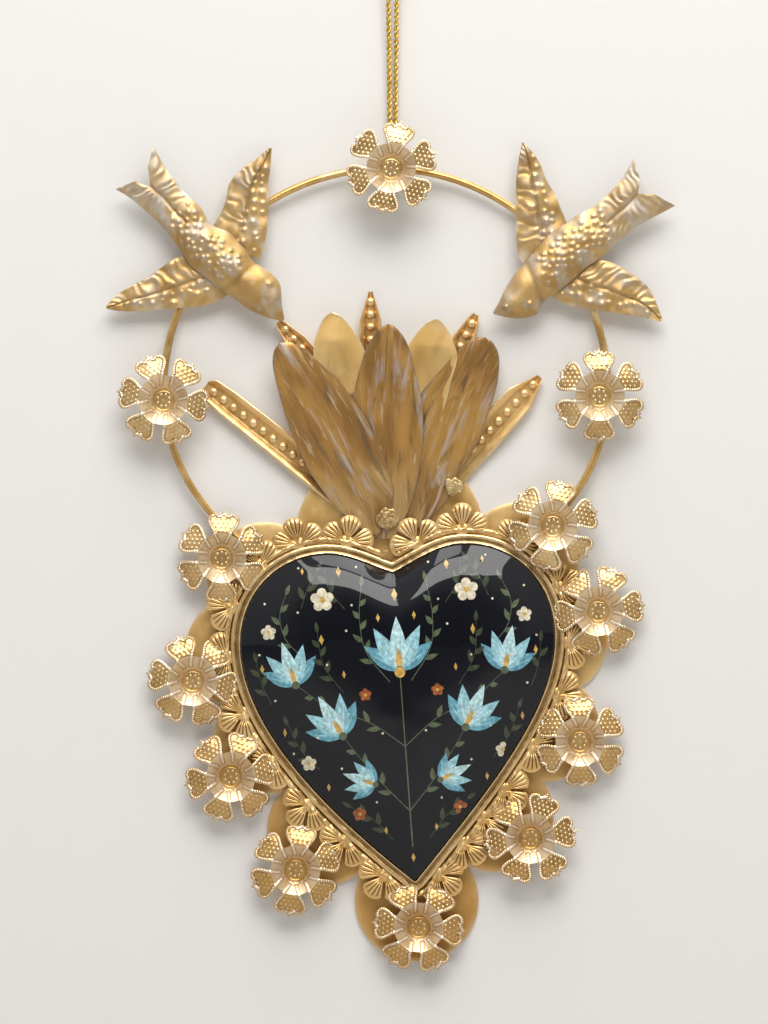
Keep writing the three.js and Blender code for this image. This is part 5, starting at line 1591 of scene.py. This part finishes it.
birds = {
    "left": {
        "at": 140.6, "out": -2.2, "eyes": [(13.9, -8.2)], "neck": 0.33,
        "body": [
            [(30.7, -31), (30, -31.9)], [(29.5, -23.3), (21.6, -29.8)],
            [(28.8, -14.8), (22.1, -20.7), (14, -26.4)],
            [(24.5, -8.8), (16.2, -15.2), (7.6, -21.6)], [(17.2, -4.1), (9.3, -10.7), (1, -17.4)],
            [(11, 3.6), (2.1, -3.8), (-7.1, -11)], [(3.8, 10.9), (-5.2, 2.8), (-14.3, -5.3)],
            [(-4.5, 14.8), (-11.6, 8.1), (-18.6, 1.4)], [(-9.5, 22.8), (-15.9, 14.7), (-22.4, 6.6)],
            [(-15.5, 28.3), (-21.6, 20.7), (-27.6, 13.1)], [(-21, 34.5), (-27.2, 27.2), (-34.5, 19.8)],
            [(-26.2, 41.7), (-29.3, 35.5), (-30.3, 29.7), (-35.5, 28.6), (-41.9, 26.2)],
            [(-31.9, 52.1), (-34.5, 42.2), (-33.3, 32.4), (-41, 35), (-50, 31.4)]],
        "upper": [
            [(-6, 9.5), (19, -2.6)], [(-1.7, 16.4), (21.4, 5.5)], [(2.1, 24.1), (22.8, 16.4)],
            [(4.8, 34.7), (23.3, 26.7)],
            [(10.2, 41), (23.1, 34.5)], [(16.6, 45.3), (24.1, 41.7)], [(21.7, 49.8), (24.5, 48.3)],
            [(23.8, 51.2), (24.7, 50.9)]],
        "lower": [
            [(-7.2, 0.9), (7.8, -15.5)], [(-13.8, 0.7), (-0.9, -22.1)], [(-20.7, -1.4), (-9.5, -24.7)],
            [(-27.2, -5.5), (-19.8, -25.5)], [(-35.3, -11.2), (-31.9, -26.4)],
            [(-43.4, -15.2), (-43.1, -27.1)],
            [(-51, -20.7), (-50, -26.7)], [(-54.7, -24.8), (-54.3, -25.9)]]},
    "right": {
        "at": 36.7, "out": 3.9, "eyes": [(-12.7, -15.2), (-19.5, -16)], "neck": 0.3,
        "body": [
            [(-39.5, -30), (-39.1, -31)], [(-36.7, -25.5), (-32.1, -32.6)],
            [(-33.8, -19.3), (-29.3, -26.2), (-25.3, -32.9)],
            [(-29.3, -12.1), (-23.8, -21.7), (-18.6, -31)], [(-23.3, -5.2), (-19, -15.2), (-14.8, -24.8)],
            [(-17.2, 2.1), (-12.6, -8.8), (-7.9, -19.8)], [(-11.9, 7.9), (-6.6, -3.4), (-1.4, -14.8)],
            [(-4.3, 12.8), (1, 2.4), (6.2, -7.9)], [(1.4, 16.9), (6.6, 6.2), (11.6, -4.3)],
            [(8.6, 20.3), (12.9, 10.3), (17.1, 0.5)], [(14.3, 25.5), (18.4, 15.5), (22.8, 5.5)],
            [(20, 31), (24.8, 21), (30.3, 11.4)],
            [(23.8, 36.2), (26.6, 29.3), (27.6, 24.1), (32.8, 21.7), (38.6, 16)],
            [(27.6, 43.6), (31, 33.3), (29.8, 26.6), (37.6, 26.4), (47.8, 20.9)]],
        "upper": [
            [(-23.3, -9.5), (0.9, 5.2)], [(-27.2, -2.6), (-2.8, 10.3)], [(-28.4, 7.8), (-6, 17.2)],
            [(-28.1, 19.8), (-9.7, 26.4)], [(-28.4, 29.3), (-13.8, 33.1)], [(-27.8, 37.9), (-16.9, 41)],
            [(-26.6, 45.9), (-21, 47.2)], [(-25.5, 51.4), (-24.7, 51.2)]],
        "lower": [
            [(2.6, -1.7), (-15.5, -16.4)], [(10.9, -4.5), (-9.5, -23.4)], [(16.4, -5.9), (-1.7, -26.9)],
            [(23.1, -9), (8.6, -28.6)], [(30, -13.8), (19.8, -30.5)], [(35.2, -18.6), (29.7, -32.1)],
            [(39.3, -26.9), (37.1, -33.6)], [(41.7, -33.1), (40.7, -34.5)]]},
}


# rows of differing length as an even grid, with its shares along and across
def rowsToGrid(rows, along, across):
    sampled = []
    for row in rows:
        row = np.array(row, float) * birdForm["length"] / 100
        places, known = np.linspace(0, len(row) - 1, across), np.arange(len(row))
        sampled.append(np.stack([np.interp(places, known, row[:, k]) for k in (0, 1)], axis=1))
    rows = np.array(sampled)
    at = np.concatenate([[0], np.cumsum(np.linalg.norm(np.diff(rows, axis=0), axis=2).mean(1))])
    count = int(at[-1] / along)
    wanted = np.linspace(0, at[-1], count)
    grid = splineRows(rows, at, wanted)
    share = np.interp(wanted, at, np.linspace(0, 1, len(at)))
    u = np.repeat(share, across)
    v = np.tile(np.linspace(0, 1, across), count)
    return grid.reshape(-1, 2), u, v, (count, across)


def dotField(flat, keep, look, seed):  # dots on a loose grid, where keep is over a half
    step, radius, loose = look["step"], look["radius"], birdForm["loose"]
    low, high = flat.min(0), flat.max(0)
    xs, zs = (np.arange(low[k], high[k], step) for k in (0, 1))
    dots = np.array([(x, z) for x in xs for z in zs])
    dots = dots + np.random.default_rng(seed).uniform(-loose, loose, dots.shape) * step
    sizes = np.random.default_rng(seed + 70).uniform(*birdForm["dotSizes"], len(dots))
    height = np.zeros(len(flat))
    for dot, size in zip(dots, sizes):
        d = np.hypot(flat[:, 0] - dot[0], flat[:, 1] - dot[1])
        nearest = int(d.argmin())
        if d[nearest] < 0.5 and keep[nearest] > 0.5:
            near = d < 3 * radius * size
            height[near] = np.maximum(height[near], size * bell(d[near], radius * size))
    return height


def addBirdPart(node, rows, centre, seat, relief, seed):
    flat, u, v, shape = rowsToGrid(rows, birdForm["along"], birdForm["across"])
    lift, worn, sunk = relief(flat, u, v, seed)
    # paler along every edge: partly wear, partly painted highlight on the rims
    worn = np.clip(worn + birdForm["edge"] * bell(np.minimum(v, 1 - v), birdForm["edgeWidth"]), 0, 1)
    piece = pressed(pieceName(node), flat + centre, seat + tin["sheet"] + lift, gridFaces(*shape), birdGold,
                    {"worn": worn, "sunk": sunk})
    settle(piece, "bird_gold", node)


def bodyRelief(look):
    def relief(flat, u, v, seed):
        chest = np.sin(math.pi * np.minimum(1, u / 0.75)) ** 0.8
        crown = (birdForm["tail"] + (birdForm["chest"] - birdForm["tail"]) * chest) * np.minimum(1, u * 8)
        crown = np.where(u < 0.75, crown, birdForm["tail"]) * np.sin(math.pi * v) ** 0.8
        onChest = smooth(u, look["neck"] + 0.02, look["neck"] + 0.06) * (1 - smooth(u, 0.7, 0.78))
        onTail = smooth(u, 0.66, 0.74)
        clear = smooth(np.minimum(v, 1 - v), 0.08, 0.16)
        dots = dotField(flat, onChest * clear, birdForm["bodyDots"], seed)
        form, aside = birdForm["bodyRibs"], np.abs(v - 0.5) * 2
        uneven = lumps(flat[:, 0], flat[:, 1], 7, seed + 2)
        turns = u * form["count"] + aside * form["slant"] + form["waver"] * uneven
        ribs = (0.5 + 0.5 * np.cos(2 * math.pi * turns)) * onTail
        ribs = ribs * smooth(aside, 0.1, 0.36) * (1 - smooth(aside, 0.86, 0.97)) * (0.65 + 0.35 * uneven)
        (middleDepth, middleWidth), (neckDepth, neckWidth) = birdForm["bodyCrease"], birdForm["neckCrease"]
        crease = bell(v - 0.5, middleWidth) * smooth(u, 0.62, 0.72)
        neck = bell(u - look["neck"], neckWidth)
        toEyes = [np.hypot(flat[:, 0] - x, flat[:, 1] - z) for x, z in look["eyes"]]
        eyes = sum(bell(far, birdForm["eyeRadius"]) for far in toEyes)
        lift = crown + birdForm["bodyDots"]["height"] * dots + form["height"] * ribs
        lift = lift - middleDepth * crease - neckDepth * neck + birdForm["eye"] * eyes
        lift = lift + birdForm["uneven"] * lumps(flat[:, 0], flat[:, 1], 8, seed)
        patch = smooth(lumps(flat[:, 0], flat[:, 1], 12, 5), 0.0, 0.7)
        worn = np.clip(0.5 * dots + 0.3 * ribs + 0.5 * patch + 0.25 * onTail, 0, 0.8)
        # painted shade in the middle crease and at the neck
        return lift, worn, np.clip(0.35 * crease + 0.3 * neck, 0, 1)
    return relief


def wingRelief(flat, u, v, seed):  # feather ribs on the first half across, dots on the second
    side, line = 1 - v, 0.52 - 0.1 * u
    crown = birdForm["wing"] * np.sin(math.pi * v) * (1 - u)
    half = smooth(side, line, line + 0.06)
    form, (creaseDepth, creaseWidth) = birdForm["wingRibs"], birdForm["wingCrease"]
    uneven = lumps(flat[:, 0], flat[:, 1], 7, seed + 2)
    turns = u * form["count"] - side * form["slant"] + form["waver"] * uneven
    ribs = (0.5 + 0.5 * np.cos(2 * math.pi * turns)) * half * smooth(u, 0.1, 0.2)
    ribs = ribs * (1 - smooth(side, 0.93, 0.99)) * (0.7 + 0.3 * uneven)
    keep = (1 - half) * smooth(side, 0.08, 0.16) * smooth(u, 0.02, 0.06)
    dots = dotField(flat, keep, birdForm["wingDots"], seed)
    crease = bell(side - line, creaseWidth)
    lift = crown + form["height"] * ribs + birdForm["wingDots"]["height"] * dots - creaseDepth * crease
    lift = lift + birdForm["uneven"] * lumps(flat[:, 0], flat[:, 1], 7, seed)
    patch = smooth(lumps(flat[:, 0], flat[:, 1], 11, seed), 0.1, 0.9)
    # painted shade in the wing's crease
    return lift, np.clip(0.35 * ribs + 0.45 * dots + 0.4 * patch, 0, 0.8), 0.4 * crease


for side, look in birds.items():
    centre = onHoop(look["at"], look["out"])
    addBirdPart(f"{side}_bird_body", look["body"], centre, birdForm["bodySeat"], bodyRelief(look),
                birdForm["bodySeed"])
    for number, part in enumerate(("upper", "lower")):
        addBirdPart(f"{side}_bird_{part}_wing", look[part], centre, birdForm["wingSeat"], wingRelief,
                    birdForm["wingSeed"] + number)
print("birds made")


# solder: flat crackled patches, and small blobs where it can't run
solder = {  # share of unevenness, growth across, growth in depth
    "solder_flame": (0.22, 2.3, 0.6), "solder_ray": (0.22, 1.9, 0.6), "solder_cleft": (0.3, 1.2, 1.0),
    "solder_pad_left": (0.3, 1.0, 1.0), "solder_pad_right": (0.3, 1.0, 1.0),
}


def addSolder(node, lumpy, wider, deeper):
    low, high = (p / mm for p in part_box(node))
    centre, half = (low + high) / 2, (high - low) / 2
    half.x, half.y, half.z = half.x * wider, half.y * deeper, half.z * wider
    shape = bmesh.new()
    bmesh.ops.create_icosphere(shape, subdivisions=5, radius=1)
    depths = []
    for v in shape.verts:
        edge = 0.8 + lumpy * noise.fractal(v.co * 1.6 + centre, 1.0, 2.0, 2)
        crackle = abs(noise.fractal(v.co * (1.7 * wider) + centre, 1.0, 2.0, 2))
        flat = math.copysign(abs(v.co.y) ** 0.5, v.co.y) * (1 - 0.5 * (1 - min(1.0, crackle * 4)) ** 2)
        # painted shade in the cracks of the flat patches
        depths.append(0.9 * max(0.0, 1 - crackle * 7) if wider > 1.5 else 0.0)
        place = (v.co.x * edge, max(-1.0, min(1.0, flat)), v.co.z * edge)
        v.co = Vector([centre[k] + half[k] * place[k] for k in range(3)]) * mm
    mesh = bpy.data.meshes.new(node)
    shape.to_mesh(mesh)
    shape.free()
    mesh.attributes.new("sunk", "FLOAT", "POINT").data.foreach_set("value", depths)
    mesh.materials.append(solderGold)
    mesh.shade_smooth()
    settle(addObject(pieceName(node), mesh), "solder", node)


for node, look in solder.items():
    addSolder(node, *look)
print("solder made")


# stage: a pale floor, a pale wall that shows only from the front, soft lamps and sky
stage = {
    "floorDrop": 60.0, "wallGap": 0.4, "reach": 30.0, "wall": (0.7, 0.69, 0.67), "floor": (0.52, 0.51, 0.49),
    "lamps": {  # place, size, power, colour
        "keyLamp": ((0.08, -0.65, 0.6), (0.85, 0.56), 10.2, (1, 0.98, 0.95)),
        "highLamp": ((0.03, -0.3, 1.6), (1.4, 0.7), 14.0, (1, 0.99, 0.98)),
        "backLamp": ((0.4, 0.9, 0.5), (0.6, 0.6), 3.0, (1, 1, 1))},
    "sky": (-0.7, 0.8, 0.3, 0.92), "room": (-0.99, -0.75, 0.34, 1.0), "skyLight": 0.54,
    "seenColour": (1, 0.99, 0.975, 1), "skyColour": (0.97, 0.98, 1, 1),
}


def wallSurface():
    material, tree, surface = shader("wallPaint", {"Roughness": 0.95, "Base Color": (*stage["wall"], 1)})
    output = next(n for n in tree.nodes if n.type == "OUTPUT_MATERIAL")
    path = addNode(tree, "ShaderNodeLightPath").outputs["Is Camera Ray"]
    back = addNode(tree, "ShaderNodeNewGeometry").outputs["Backfacing"]
    shown = mathNode(tree, "MULTIPLY", path, mathNode(tree, "SUBTRACT", 1.0, back))
    clear = addNode(tree, "ShaderNodeBsdfTransparent")
    mixed = addNode(tree, "ShaderNodeMixShader", {}, {0: shown, 1: clear.outputs[0], 2: surface.outputs[0]})
    tree.links.new(mixed.outputs[0], output.inputs["Surface"])
    return material


def addSheet(name, corners, material):
    mesh = bpy.data.meshes.new(name)
    mesh.from_pydata(corners, [], [(0, 1, 2, 3)])
    mesh.materials.append(material)
    addObject(name, mesh)


def addLamp(name, place, size, power, colour):
    data = bpy.data.lights.new(name, "AREA")
    data.shape = "RECTANGLE"
    data.size, data.size_y = size
    data.energy = power
    data.color = colour
    lamp = addObject(name, data)
    lamp.location = place
    middle = Vector((photo["x"] * mm, 0, photo["z"] * mm))
    lamp.rotation_euler = (middle - Vector(place)).to_track_quat("-Z", "Y").to_euler()


def addStage():
    low, reach = cadBox[0].z - stage["floorDrop"] * mm, stage["reach"]
    back = (wallY + stage["wallGap"]) * mm
    floorPaint = shader("floorPaint", {"Roughness": 0.9, "Base Color": (*stage["floor"], 1)})[0]
    floor = [(-reach, -reach, low), (reach, -reach, low), (reach, reach, low), (-reach, reach, low)]
    wall = [(-reach, back, low), (reach, back, low), (reach, back, reach), (-reach, back, reach)]
    addSheet("floor", floor, floorPaint)
    addSheet("backdrop", wall, wallSurface())
    for name, look in stage["lamps"].items():
        addLamp(name, *look)
    world = bpy.data.worlds.new("studio")
    scene.world = world
    world.use_nodes = True
    tree = world.node_tree
    tree.nodes.clear()
    path = addNode(tree, "ShaderNodeLightPath").outputs
    seen = mathNode(tree, "MAXIMUM", mathNode(tree, "MAXIMUM", path["Is Camera Ray"], path["Is Glossy Ray"]),
                    path["Is Transmission Ray"])
    direction = addNode(tree, "ShaderNodeTexCoord").outputs["Generated"]
    where = addNode(tree, "ShaderNodeSeparateXYZ", {}, {0: direction})
    shade = spread(tree, where.outputs["Z"], *stage["sky"])
    room = spread(tree, where.outputs["Y"], *stage["room"])
    shown = addNode(tree, "ShaderNodeBackground", {}, {
        "Color": stage["seenColour"], "Strength": mathNode(tree, "MULTIPLY", shade, room)})
    lighting = addNode(tree, "ShaderNodeBackground", {}, {
        "Color": stage["skyColour"], "Strength": mathNode(tree, "MULTIPLY", shade, stage["skyLight"])})
    mixed = addNode(tree, "ShaderNodeMixShader", {}, {0: seen, 1: lighting.outputs[0], 2: shown.outputs[0]})
    addNode(tree, "ShaderNodeOutputWorld", {}, {"Surface": mixed.outputs[0]})


addStage()
print("stage made")
